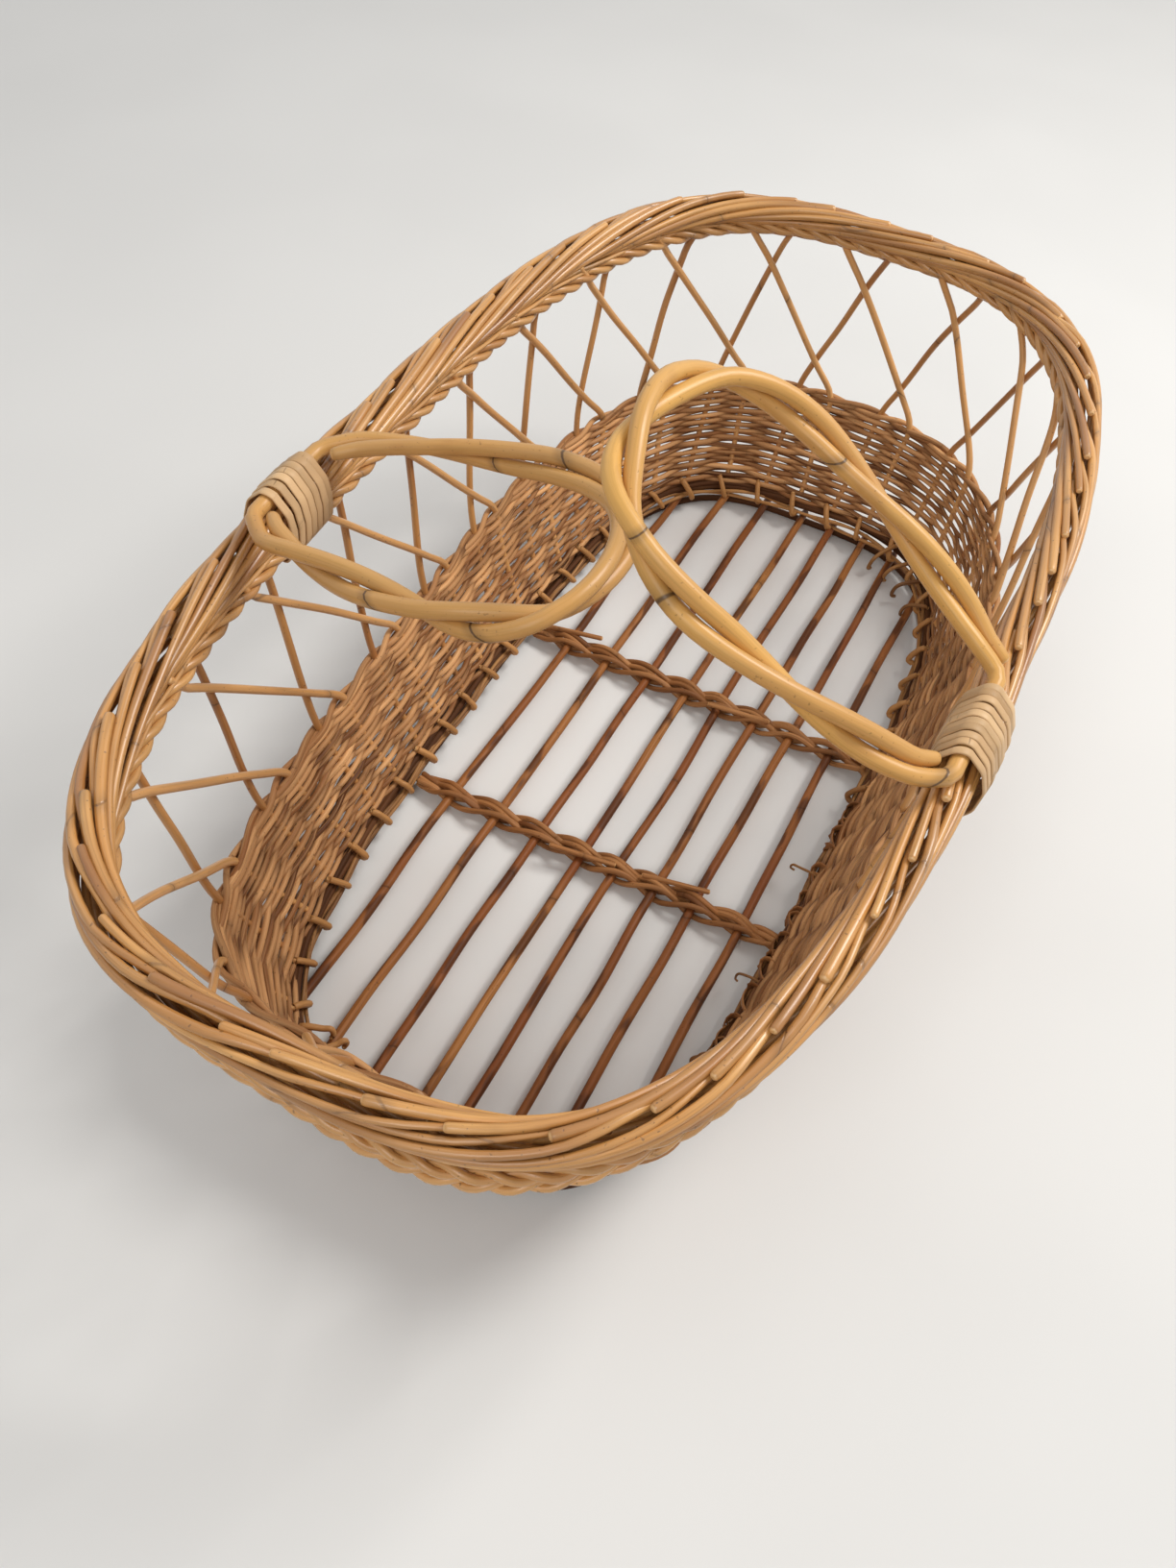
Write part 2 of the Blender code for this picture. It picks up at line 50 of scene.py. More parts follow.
basket = {
    "length": 0.780,
    "width": 0.4270,
    "rimTop": 0.2567,
    "stakePairs": 26,
    "wallPhase": 0.40,        # where a pair stands on the wall and on the rim, in pairs
    "rimPhase": 0.62,
}
rim = {
    "radius": 0.014,
    "bandRadius": 0.0053,
    "bandWidth": 0.0170,
    "clearance": 0.0003,
    "stakeInset": 0.003,      # the stakes' heads stand this far inside the rim's line
}
rim["height"] = basket["rimTop"] - rim["radius"]
rim["bandDrop"] = rim["radius"] + rim["clearance"] + rim["bandRadius"]
rim["bandReach"] = rim["bandWidth"] / 2 - rim["bandRadius"]
rim["bandHeight"] = rim["height"] - rim["bandDrop"]
ovals = {
    "rim": {
        "length": basket["length"] - 2 * rim["radius"],
        "width": basket["width"] - 2 * rim["radius"],
        "headPower": 2.89, "footPower": 3.02,     # 2 is an ellipse, and more is squarer
    },
    "wall": {
        "length": 0.8690 * basket["length"],
        "width": 0.8342 * basket["width"],
        "headPower": 2.57, "footPower": 4.85,
        "taper": 0.079, "shift": 0.0405 * basket["length"],
    },
    "base": {
        "length": 0.7785 * basket["length"],
        "width": 0.6319 * basket["width"],
        "headPower": 3.58, "footPower": 3.91,
        "taper": 0.030, "shift": 0.0246 * basket["length"],
    },
}


def distanceAlong(points):
    return np.concatenate(([0.0], np.cumsum(np.linalg.norm(np.diff(points, axis=0), axis=1))))


def pickAt(wanted, reached, rows):
    return np.column_stack([np.interp(wanted, reached, column) for column in rows.T])


def unitRows(rows):
    return rows / np.linalg.norm(rows, axis=1)[:, None]


def outwardNormals(points):
    # across a closed line, at each of its points
    tangent = unitRows(np.roll(points, -1, axis=0) - np.roll(points, 1, axis=0))
    return np.column_stack((tangent[:, 1], -tangent[:, 0]))


def ovalLine(length, width, headPower, footPower, taper=0.0, shift=0.0):
    count = 1440
    angle = (np.arange(count) + 0.5) * 2 * np.pi / count
    cosine, sine = np.cos(angle), np.sin(angle)
    power = np.where(cosine > 0, headPower, footPower)
    x = length / 2 * np.sign(cosine) * np.abs(cosine) ** (2 / power)
    y = width / 2 * np.sign(sine) * np.abs(sine) ** (2 / power)
    y = y * (1 + taper * x / (length / 2))
    points = np.column_stack((x + shift, y))
    normals = outwardNormals(points)
    ring = np.vstack((points, points[:1]))
    normals = np.vstack((normals, normals[:1]))
    reached = distanceAlong(ring)
    return {"ring": ring, "normals": normals, "reached": reached, "girth": reached[-1]}


def along(line, fractions, out=0.0):
    # places and outward normals at fractions of the way round a line
    wanted = np.mod(np.asarray(fractions, float), 1.0) * line["girth"]
    place = pickAt(wanted, line["reached"], line["ring"])
    normal = unitRows(pickAt(wanted, line["reached"], line["normals"]))
    return place + np.reshape(out, (-1, 1)) * normal, normal


rimLine, wallLine, baseLine = (ovalLine(**ovals[name]) for name in ("rim", "wall", "base"))


def fractionAt(pairs):
    # the fraction of the way round for a place counted in pairs of stakes
    return pairs / basket["stakePairs"]


def wander(count, size, waves=3):
    # a slow random drift along a cane, about as large as size
    place = np.linspace(0, 1, count)
    drift = np.zeros(count)
    usualSize = 1.2
    for wave in range(1, waves + 1):
        drift += dice.normal(0, 1 / wave) * np.sin(2 * np.pi * wave * place + dice.uniform(0, 2 * np.pi))
    return size * drift / usualSize


def smoothStretch(before, start, stop, after, count):
    # points on the smooth curve from start to stop, without stop itself
    return [0.5 * (2 * start + (stop - before) * part
                   + (2 * before - 5 * start + 4 * stop - after) * part ** 2
                   + (3 * start - before - 3 * stop + after) * part ** 3)
            for part in np.arange(count) / count]


def smoothThrough(corners, count):
    # evenly spaced points on a smooth open curve through the corners
    corners = np.asarray(corners, float)
    ring = np.vstack((2 * corners[0] - corners[1], corners, 2 * corners[-1] - corners[-2]))
    fine = []
    for index in range(1, len(ring) - 2):
        fine += smoothStretch(*ring[index - 1:index + 3], 16)
    fine = np.array(fine + [corners[-1]])
    reached = distanceAlong(fine)
    return pickAt(np.linspace(0, reached[-1], count), reached, fine)


# laying canes: each one is a bevelled curve, made a mesh and added to its piece

cane = {
    "endRings": (0.25, 0.8),      # two rings just inside a cut round its rim, in radii from the end
    "endTone": (1.0, 0.7),        # how much of the cut's pale colour, with its painted highlight, the first two rings show
    "roundCut": 0.5,              # how wide a cut is where its rim is rounded, in radii
    "squareCut": 1.0,
}


def startPiece(name):
    return {"name": name, "cage": bmesh.new(), "grain": [], "tone": [], "end": []}


def ringsAtEnd(tip, inner, size):
    way = (inner - tip) / np.linalg.norm(inner - tip)
    return [tip + way * size * share for share in cane["endRings"]]


def layCane(piece, points, radii, sides=8, tone=None, flat=0.0, place=None, cut=cane["roundCut"]):
    points = np.asarray(points, float)
    radii = np.broadcast_to(np.asarray(radii, float), (len(points),)).copy()
    first = ringsAtEnd(points[0], points[1], radii[0])
    last = ringsAtEnd(points[-1], points[-2], radii[-1])
    points = np.vstack((points[:1], first, points[1:-1], last[::-1], points[-1:]))
    taper = np.array((cut, (2 + cut) / 3 + 0.04 * (cut < 1), 1.0))
    radii = np.concatenate((radii[0] * taper, radii[1:-1], radii[-1] * taper[::-1]))
    thick = float(radii.max())

    data = bpy.data.curves.new("cane", "CURVE")
    data.dimensions = "3D"
    data.twist_mode = "Z_UP" if flat else "MINIMUM"
    data.resolution_u = 1
    data.bevel_depth = thick
    data.bevel_resolution = 1 if flat else sides // 2 - 2
    data.extrude = flat
    spline = data.splines.new("POLY")
    spline.points.add(len(points) - 1)
    spline.points.foreach_set("co", np.column_stack((points, np.ones(len(points)))).ravel())
    spline.points.foreach_set("radius", radii / thick)
    laid = bpy.data.objects.new("cane", data)
    bpy.context.scene.collection.objects.link(laid)
    mesh = bpy.data.meshes.new_from_object(laid.evaluated_get(bpy.context.evaluated_depsgraph_get()))
    if place is not None:
        mesh.transform(place)

    ring = len(mesh.vertices) // len(points)
    turn = 2 * np.pi * np.arange(ring) / ring
    grain = np.empty((len(points), ring, 3))      # across the cane and along it, for the finishes
    grain[:, :, 0] = np.cos(turn) * thick
    grain[:, :, 1] = np.sin(turn) * thick
    grain[:, :, 2] = (distanceAlong(points) + dice.uniform(0, 30))[:, None]     # no two alike
    end = np.zeros((len(points), ring))
    end[:2] = np.reshape(cane["endTone"], (2, 1))
    end[-2:] = end[1::-1]
    tone = dice.uniform(0, 1) if tone is None else tone
    if np.ndim(tone):
        tone = np.concatenate((tone[:1].repeat(3), tone[1:-1], tone[-1:].repeat(3)))
    piece["grain"].append(grain.reshape(-1, 3))
    piece["end"].append(end.ravel())
    piece["tone"].append(np.repeat(np.broadcast_to(tone, (len(points),)), ring))
    piece["cage"].from_mesh(mesh)
    bpy.data.objects.remove(laid)
    bpy.data.curves.remove(data)
    bpy.data.meshes.remove(mesh)


def finishPiece(piece, finish, body, nodes):
    cage = piece["cage"]
    openEdges = [edge for edge in cage.edges if edge.is_boundary]
    caps = bmesh.ops.holes_fill(cage, edges=openEdges, sides=0)["faces"]
    for face in caps:
        for edge in face.edges:
            edge.smooth = False
    bmesh.ops.recalc_face_normals(cage, faces=cage.faces)
    mesh = bpy.data.meshes.new(piece["name"])
    cage.to_mesh(mesh)
    cage.free()
    mesh.shade_smooth()
    layers = (("grain", "FLOAT_VECTOR", "vector"), ("tone", "FLOAT", "value"), ("end", "FLOAT", "value"))
    for name, kind, key in layers:
        layer = mesh.attributes.new(name, kind, "POINT")
        layer.data.foreach_set(key, np.concatenate(piece[name]).astype(np.float32).ravel())
    mesh.materials.append(finish)
    made = bpy.data.objects.new(piece["name"], mesh)
    bpy.context.scene.collection.objects.link(made)
    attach(made, body)
    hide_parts(*nodes)
    print(f"{piece['name']}: {len(mesh.vertices)} points, {len(mesh.polygons)} faces")


# finishes: every cane shares one set of fibres, stains, specks and knots, in its own colours

class Wire:
    # one socket of a shader, so that maths on it reads as maths
    def __init__(self, tree, socket):
        self.tree = tree
        self.socket = socket

    def node(self, kind, settings=None, inputs=None, out=0):
        made = self.tree.nodes.new(kind)
        for name, value in (settings or {}).items():
            setattr(made, name, value)
        for name, value in (inputs or {}).items():
            target = made.inputs[name]
            if isinstance(value, Wire):
                self.tree.links.new(value.socket, target)
            else:
                target.default_value = value
        return Wire(self.tree, made.outputs[out])

    def math(self, operation, *others):
        return self.node("ShaderNodeMath", {"operation": operation}, dict(enumerate((self, *others))))

    def __add__(self, other):
        return self.math("ADD", other)

    def __sub__(self, other):
        return self.math("SUBTRACT", other)

    def __rsub__(self, other):
        return self.math("MULTIPLY_ADD", -1.0, other)

    def __mul__(self, other):
        return self.math("MULTIPLY", other)

    def __truediv__(self, other):
        return self.math("DIVIDE", other)

    __radd__ = __add__
    __rmul__ = __mul__

    def between(self, low, high):
        # 0 below low, 1 above high, smooth in between
        return self.node("ShaderNodeMapRange", {"interpolation_type": "SMOOTHSTEP"},
                         {"Value": self, "From Min": low, "From Max": high})

    def blend(self, first, second):
        # colour first where this mask is 0, second where it is 1
        return self.node("ShaderNodeMix", {"data_type": "RGBA"},
                         {0: self, 6: paint(first), 7: paint(second)}, out=2)


def paint(colour):
    return colour if isinstance(colour, Wire) else (*colour, 1)


def startFinish(name, roughness, shine):
    material = bpy.data.materials.new(name)
    material.use_nodes = True
    tree = material.node_tree
    shader = tree.nodes["Principled BSDF"]
    shader.inputs["Roughness"].default_value = roughness
    shader.inputs["Specular IOR Level"].default_value = shine
    return material, tree, shader


surface = {   # what every cane shares
    "fibres": ((900, 900, 26), 3.0),        # how fine across and along a cane, and how detailed
    "stains": ((90, 90, 22), 2.0),
    "drift": ((8, 8, 7), 1.0),              # slow change of colour along the cane
    "specks": ((420, 420, 420), 1.0),
    "fibreMask": (0.42, 0.70),              # where each starts to show, and where it shows in full
    "driftMask": (0.35, 0.68),
    "speckMask": (0.70, 0.76),
    "cutMask": (0.50, 0.95),
    "knotUneven": 1.3,                      # how unevenly the knots are spaced
    "knotRing": (0.0004, 0.0016),
    "knotHalo": (0.001, 0.011),
    "fibreRough": 0.16,
    "stainRough": 0.10,
    "usualRough": 0.13,                     # what the two add on the average
    "stainHeight": 0.25,
    "haloHeight": 0.55,
    "knotGroove": 0.5,
    "speckPit": 0.2,
    "bumpDepth": 0.0007,
    "coatRoughness": 0.25,
}


def caneFinish(name, look):
    material, tree, shader = startFinish(name, look["roughness"], look["shine"])
    start = Wire(tree, None)
    grain = start.node("ShaderNodeAttribute", {"attribute_name": "grain"}, out=1)
    tone = start.node("ShaderNodeAttribute", {"attribute_name": "tone"}, out=2)
    end = start.node("ShaderNodeAttribute", {"attribute_name": "end"}, out=2)
    run = start.node("ShaderNodeSeparateXYZ", {}, {0: grain}, out=2)

    def noise(kind):
        stretch, detail = surface[kind]
        spread = grain.node("ShaderNodeVectorMath", {"operation": "MULTIPLY"}, {0: grain, 1: stretch})
        return spread.node("ShaderNodeTexNoise", {}, {"Vector": spread, "Scale": 1.0, "Detail": detail})

    fibres, stains, drift, specks = (noise(kind) for kind in ("fibres", "stains", "drift", "specks"))
    knotPlace = (run / look["knotEvery"] + drift * surface["knotUneven"]).math("FRACT")
    knotAway = (knotPlace - 0.5).math("ABSOLUTE") * look["knotEvery"]
    knot = 1 - knotAway.between(*surface["knotRing"])
    knotHalo = 1 - knotAway.between(*surface["knotHalo"])
    speckSpots = specks.between(*surface["speckMask"])
    layers = (
        (drift.between(*surface["driftMask"]), look["driftColour"]),
        (stains.between(look["stainFrom"], look["stainTo"]) * look["stainShare"], look["stainColour"]),
        (fibres.between(*surface["fibreMask"]) * look["fibreShare"], look["fibreColour"]),
        (speckSpots * look["speckShare"], look["darkColour"]),
        (knotHalo * look["haloShare"], look["darkColour"]),
        (knot * look["knotShare"], look["darkColour"]),
        # cut ends: the pale cut wood, brightened into a painted highlight
        (end.between(*surface["cutMask"]), look["cutAndHighlightColour"]),
    )
    colour = tone.between(0.0, 1.0).blend(look["colour"], look["otherColour"])
    for mask, layerColour in layers:
        colour = mask.blend(colour, layerColour)
    tree.links.new(colour.socket, shader.inputs["Base Color"])

    rough = fibres * surface["fibreRough"] + stains * surface["stainRough"]
    rough = rough + (look["roughness"] - surface["usualRough"])
    tree.links.new(rough.socket, shader.inputs["Roughness"])
    height = fibres * look["fibreDepth"] + stains * surface["stainHeight"] + knotHalo * surface["haloHeight"]
    height = height - knot * surface["knotGroove"] - speckSpots * surface["speckPit"]
    bump = height.node("ShaderNodeBump", {},
                       {"Height": height, "Strength": look["bump"], "Distance": surface["bumpDepth"]})
    tree.links.new(bump.socket, shader.inputs["Normal"])
    shader.inputs["Coat Weight"].default_value = look["coat"]
    shader.inputs["Coat Roughness"].default_value = surface["coatRoughness"]
    return material


def caneLook(colour, otherColour, **changes):
    # one kind of cane, from its two main colours and what differs from the usual
    made = {
        "colour": colour, "otherColour": otherColour,
        "driftColour": tuple(0.8 * part for part in colour),
        "stainColour": tuple(0.45 * part for part in colour),
        "fibreColour": tuple(0.62 * part for part in colour),
        "darkColour": (0.045, 0.020, 0.009),
        # pale cut wood, made brighter as a painted highlight on the cut ends
        "cutAndHighlightColour": (0.72, 0.44, 0.19),
        "stainFrom": 0.58, "stainTo": 0.72, "stainShare": 0.35,
        "fibreShare": 0.55, "speckShare": 0.5, "haloShare": 0.25, "knotShare": 0.7, "knotEvery": 0.19,
        "fibreDepth": 0.6, "bump": 0.5, "roughness": 0.52, "coat": 0.0, "shine": 0.2,
    }
    made.update(changes)
    return made


looks = {
    "honeyCane": caneLook(
        (0.57, 0.268, 0.072), (0.30, 0.118, 0.031), driftColour=(0.67, 0.355, 0.112),
        knotShare=0.35, knotEvery=0.31, fibreShare=0.6, roughness=0.36, coat=0.35, shine=0.5),
    "twinedCane": caneLook(
        (0.70, 0.370, 0.125), (0.32, 0.125, 0.034),
        knotShare=0.3, roughness=0.38, coat=0.4, shine=0.4),
    "tanCane": caneLook(
        (0.72, 0.385, 0.140), (0.34, 0.132, 0.038), driftColour=(0.60, 0.290, 0.092),
        knotShare=0.5, knotEvery=0.27, roughness=0.38, coat=0.2, shine=0.4),
    # its dark second colour carries the painted shade on the passes outside the stakes, and the uneven tone
    # from row to row
    "weaverCane": caneLook(
        (0.78, 0.420, 0.180), (0.10, 0.033, 0.011), driftColour=(0.28, 0.112, 0.038),
        knotShare=0.15, fibreShare=0.7, roughness=0.50, shine=0.15),
    "darkCane": caneLook(
        (0.105, 0.040, 0.015), (0.175, 0.070, 0.026), driftColour=(0.060, 0.023, 0.009),
        stainColour=(0.23, 0.110, 0.046), knotShare=0.2, fibreShare=0.8, roughness=0.58, shine=0.1),
    "barCane": caneLook(
        (0.37, 0.155, 0.052), (0.15, 0.053, 0.017), driftColour=(0.46, 0.215, 0.080),
        stainShare=0.5, knotShare=0.2, fibreShare=0.8, roughness=0.48, shine=0.15),
    "redCane": caneLook(
        (0.27, 0.090, 0.024), (0.44, 0.190, 0.056), driftColour=(0.21, 0.062, 0.018),
        stainColour=(0.070, 0.023, 0.009), stainFrom=0.50, stainTo=0.60, stainShare=0.85,
        knotShare=0.5, knotEvery=0.16, roughness=0.46, shine=0.15),
    "goldenPole": caneLook(
        (0.70, 0.385, 0.100), (0.50, 0.275, 0.098), driftColour=(0.60, 0.315, 0.095),
        stainColour=(0.40, 0.18, 0.05), stainShare=0.4, fibreShare=0.35, fibreDepth=0.4, speckShare=0.3,
        knotEvery=0.21, haloShare=0.35, knotShare=0.8, roughness=0.40, coat=0.12, shine=0.3),
    "flatStrip": caneLook(
        (0.64, 0.410, 0.210), (0.40, 0.230, 0.105), driftColour=(0.70, 0.470, 0.255),
        knotShare=0.1, haloShare=0.05, knotEvery=0.3, fibreShare=0.6, roughness=0.46),
    "paleLoop": caneLook(
        (0.56, 0.275, 0.095), (0.14, 0.056, 0.019), knotShare=0.1, roughness=0.46),
}
finishes = {name: caneFinish(name, made) for name, made in looks.items()}
print("finishes made")


# rolled border: each stake's tip lies over the last, then winds in, under and out again

bindings = {
    "left": {"cell": 7, "turns": 7, "strip": 0.0054},       # where on the rim, in pairs of stakes
    "right": {"cell": 18, "turns": 10, "strip": 0.0048},
    "edgeGap": 0.0005,
    "clearance": 0.0005,
    "thickness": 0.0010,
    "stepsPerTurn": 36,
    "bulge": 0.0010,              # the middle turns stand this much prouder than the end ones
    "liftWander": 0.0006,         # where one turn rides over the next
    "tiltWander": 0.0011,
    "placeWander": 0.0005,
    "edgeRound": 0.65,            # of a strip's edge, in thicknesses
    "tone": 0.5,
    "toneWander": 0.3,
}
border = {
    "canes": 52,
    "steps": 58,
    "length": 12.5,               # in tips along the border, as are the next five
    "startJitter": 0.2,
    "lengthJitter": 0.15,
    "proudUntil": 0.6,
    "tuckFrom": 11.25,            # a cane's end slips inwards from here
    "tuckOver": 1.1,
    "lie": 0.0095,                # how far a cane's middle lies from the roll's middle
    "proud": 0.0007,
    "tuckIn": 0.0052,
    "radius": 0.00242,
    "thickness": (0.82, 1.14),    # from cane to cane
    "tipThick": 1.10,             # at a cane's tip, and how much thinner its end is
    "thinner": 0.20,
    "turnWander": (2.2, 4),       # how far it drifts along a cane, in how many waves
    "lieWander": (0.0008, 6),
    "thickWander": (0.04, 9),
    "up": 0.0008,                 # the roll is a little slimmer than its solid, and lies high in it
    "slimAtHead": 0.16,
    "lowAtHead": 0.0008,
    "pressedReach": 0.0123,       # as far as a cane reaches under a binding
    "pressedPast": 0.004,
    "outAtLeft": 0.0012,          # the roll lies further out on the left, and nearer the middle
    "outAtRight": -0.0008,        # on the right and at both ends
    "outAtHead": -0.0044,
    "outAtFoot": -0.0022,
    "turn": (                     # tips along, and degrees round the roll: 0 is outwards, 90 is up
        (0, 80), (1, 114), (2, 146), (3, 177), (4, 207), (5, 237), (6, 267), (7, 297), (8, 327),
        (9, 355), (10, 382), (11, 409), (11.5, 432), (12, 462), (12.5, 484)),
}


def bindingFraction(side):
    return fractionAt(bindings[side]["cell"] + basket["rimPhase"])


def bindingPitch(side):
    return bindings[side]["strip"] + bindings["edgeGap"]


def rollMiddle(fractions):
    middle, normal = along(rimLine, fractions)
    atSide = np.where(normal[:, 1] > 0, border["outAtLeft"], border["outAtRight"])
    atEnd = np.where(normal[:, 0] > 0, border["outAtHead"], border["outAtFoot"])
    out = atSide * normal[:, 1] ** 2 + atEnd * normal[:, 0] ** 2
    return middle + out[:, None] * normal, normal


def makeBorder():
    piece = startPiece("rimBorderCanes")
    steps = border["steps"]
    where, turns = np.array(border["turn"]).T
    for number in range(border["canes"]):
        start = number + dice.uniform(-border["startJitter"], border["startJitter"])
        jitter = dice.uniform(-border["lengthJitter"], border["lengthJitter"])
        progress = np.linspace(0, border["length"] + jitter, steps)
        drift = wander(steps, *border["turnWander"]) * np.clip(progress, 0.2, 1)
        angle = np.radians(np.interp(progress, where, turns) + drift)
        lie = border["lie"] + wander(steps, *border["lieWander"])
        lie += border["proud"] * np.clip(1 - progress / border["proudUntil"], 0, 1)
        lie -= border["tuckIn"] * np.clip((progress - border["tuckFrom"]) / border["tuckOver"], 0, 1)
        radius = border["radius"] * dice.uniform(*border["thickness"])
        radius = radius * (border["tipThick"] - border["thinner"] * progress / border["length"])
        radius = radius * (1 + wander(steps, *border["thickWander"]))
        fractions = (start + progress) / border["canes"]
        for side in ("left", "right"):            # pressed flat under a binding
            away = np.abs((fractions - bindingFraction(side) + 0.5) % 1 - 0.5) * rimLine["girth"]
            pressed = away < bindings[side]["turns"] * bindingPitch(side) / 2 + border["pressedPast"]
            lie = np.where(pressed, np.minimum(lie, border["pressedReach"] - radius), lie)
        middle, normal = rollMiddle(fractions)
        atHead = np.clip(normal[:, 0], 0, 1) ** 2
        lie = lie * (1 - border["slimAtHead"] * atHead)
        flat = middle + (lie * np.cos(angle))[:, None] * normal
        height = rim["height"] + border["up"] - border["lowAtHead"] * atHead + lie * np.sin(angle)
        layCane(piece, np.column_stack((flat, height)), radius)
    finishPiece(piece, finishes["honeyCane"], "basket", ["rim_border"])


makeBorder()


# twined band under the border: an inner rope, two outer ones laid as chevrons, thin canes above

band = {
    "startsAt": 0.31,             # how far round the ropes' ends meet
    "chevronsAt": -0.085,         # across the basket at its foot, where the two outer ropes stand out
    "chevronSpread": 0.080,
    "lieElsewhere": 0.3,          # how much of their lie the outer ropes keep elsewhere
    "drawnFrom": 0.0050,          # the height that they draw away from at the chevrons, and how far
    "drawnBy": 0.6,
    "slimAtFoot": 0.6,            # how much slimmer the other ropes are at the foot
    "turnWander": (0.15, 9),
    "thickWander": (0.06, 20),
    "tone": 0.4,
    "toneWander": (0.3, 15),
    "ropes": (
        # out and up from the band's middle, further out at the foot, further up at the head,
        # lie, radius, canes and turns
        (-0.0064, 0.0046, 0.0, 0.0050, 0.0030, 0.00255, 3, 38),
        (0.0018, 0.0026, 0.0032, 0.0042, 0.0021, 0.00210, 2, 62),
        (0.0018, -0.0030, 0.0032, 0.0042, 0.0021, 0.00215, 2, -62),
        (-0.0068, 0.0116, 0.0, 0.0012, 0.0019, 0.00135, 3, 15),
    ),
}


def makeBand():
    piece = startPiece("rimBandCanes")
    for out, up, outAtFoot, upAtHead, lie, radius, count, turns in band["ropes"]:
        steps = max(500, 11 * abs(turns))
        fractions = np.linspace(0, 1.004, steps)
        middle, normal = along(rimLine, fractions + band["startsAt"])
        atHead, atFoot = (np.clip(way * normal[:, 0], 0, 1) ** 2 for way in (1, -1))
        height = rim["bandHeight"] + (up + upAtHead * atHead)
        if outAtFoot > 0:
            near = np.exp(-((middle[:, 1] - band["chevronsAt"]) / band["chevronSpread"]) ** 2)
            near = np.where(normal[:, 0] < 0, near, 0)
            height += (up - band["drawnFrom"]) * band["drawnBy"] * near
            out = out + outAtFoot * near
            lie = lie * (band["lieElsewhere"] + (1 - band["lieElsewhere"]) * near)
        else:
            lie = lie * (1 - band["slimAtFoot"] * atFoot)
        for strand in range(count):
            angle = -2 * np.pi * (turns * fractions + strand / count) + wander(steps, *band["turnWander"])
            flat, _ = along(rimLine, fractions + band["startsAt"], out + lie * np.cos(angle))
            points = np.column_stack((flat, height + lie * np.sin(angle)))
            uneven = 1 + wander(steps, *band["thickWander"])
            tone = np.clip(band["tone"] + wander(steps, *band["toneWander"]), 0, 1)
            layCane(piece, points, radius * uneven, tone=tone)
    finishPiece(piece, finishes["twinedCane"], "basket", ["rim_band"])


makeBand()


# stakes: up through the wall, crossing low and high, and into the border

stakes = {
    "steps": 40,
    "radius": 0.0025,
    "inWallRadius": 0.0022,
    "thickness": (0.92, 1.08),
    "thickWander": (0.03, 5),
    "sideWander": 0.0007,
    "endRoom": 0.6,               # room left at the wall's top and under the band, in radii
    "baseShare": 0.20,            # how far a stake leans below and above its pair's place, in pairs
    "topShare": 0.63,
    "wallShares": (0.02, 0.35, 0.7),    # how far up the wall its lower corners stand
    "pastBand": (1.08, 1.20),     # how high the two last corners stand, where 1 is the band
    "aside": (0.0008, 0.0024, 0.0027, 0.0030, 0.0024, 0.0010),    # from the lattice's middle, per corner
    "headInset": 0.016,           # how fast the head leans in past the band
    "tones": {1: (0, 0.35), -1: (0.65, 1)},     # the stakes that lean one way are darker
}
wall = {
    "bottom": 0.0238,
    "top": 0.0999,
    "bulge": 0.003,
    "hoopOut": 0.0108,            # how far outside the base's inner edge the wall starts
    "evenPlaces": (0.15, 0.65),       # a pair's two stakes at the foot of the wall, in pairs,
    "pairedPlaces": (0.20, 0.60),     # and at its top
    "rows": 29,
    "rowsBelow": 0.6,             # how far the first row starts below the wall's foot, in rows
    "rowsSpare": 0.9,             # and how many fewer rows span its height
    "weaver": 0.00212,
    "thickness": (0.93, 1.08),
    "thickWander": (0.07, 40),
    "bow": 0.0018,                # how far a weaver swings to each side of the stakes
    "bowPower": 0.8,
    "bowWander": (0.0006, 60),
    "levelWander": (0.0038, 16),
    "ripple": 0.0020,             # how far a weaver rises and falls between stakes
    "looseRows": 3,               # the lowest rows lie less even
    "looseness": 1.5,
    "tone": 0.58,
    "swingShade": 0.52,            # painted shade: darker where a weaver passes outside a stake,
    "riseTone": 0.25,             # paler towards the top,
    "rowTone": 0.24,              # and uneven from row to row
    "toneWander": (0.4, 40),
    "openAt": 0.89,               # the weave lies looser here, on the right of the head
    "openSpread": 0.060,
    "openThin": 0.38,
    "edge": {"lie": 0.0030, "lift": 0.0017, "drop": 0.0002, "radius": 0.0020, "canes": 2},   # on its top
}


def wallPlace(fractions, share, out=0.0):
    foot, footNormal = along(baseLine, fractions, wall["hoopOut"])
    top, topNormal = along(wallLine, fractions)
    share = np.reshape(share, (-1, 1))
    normal = unitRows(footNormal * (1 - share) + topNormal * share)
    out = wall["bulge"] * np.sin(np.pi * share) + np.reshape(out, (-1, 1))
    return foot * (1 - share) + top * share + out * normal


def wallHeight(share):
    return wall["bottom"] + (wall["top"] - wall["bottom"]) * share


def stakeFraction(index, share):
    # even at the foot of the wall, and in pairs at its top
    pair, second = divmod(index, 2)
    low, high = wall["evenPlaces"][second], wall["pairedPlaces"][second]
    return fractionAt(pair + low + (high - low) * share)


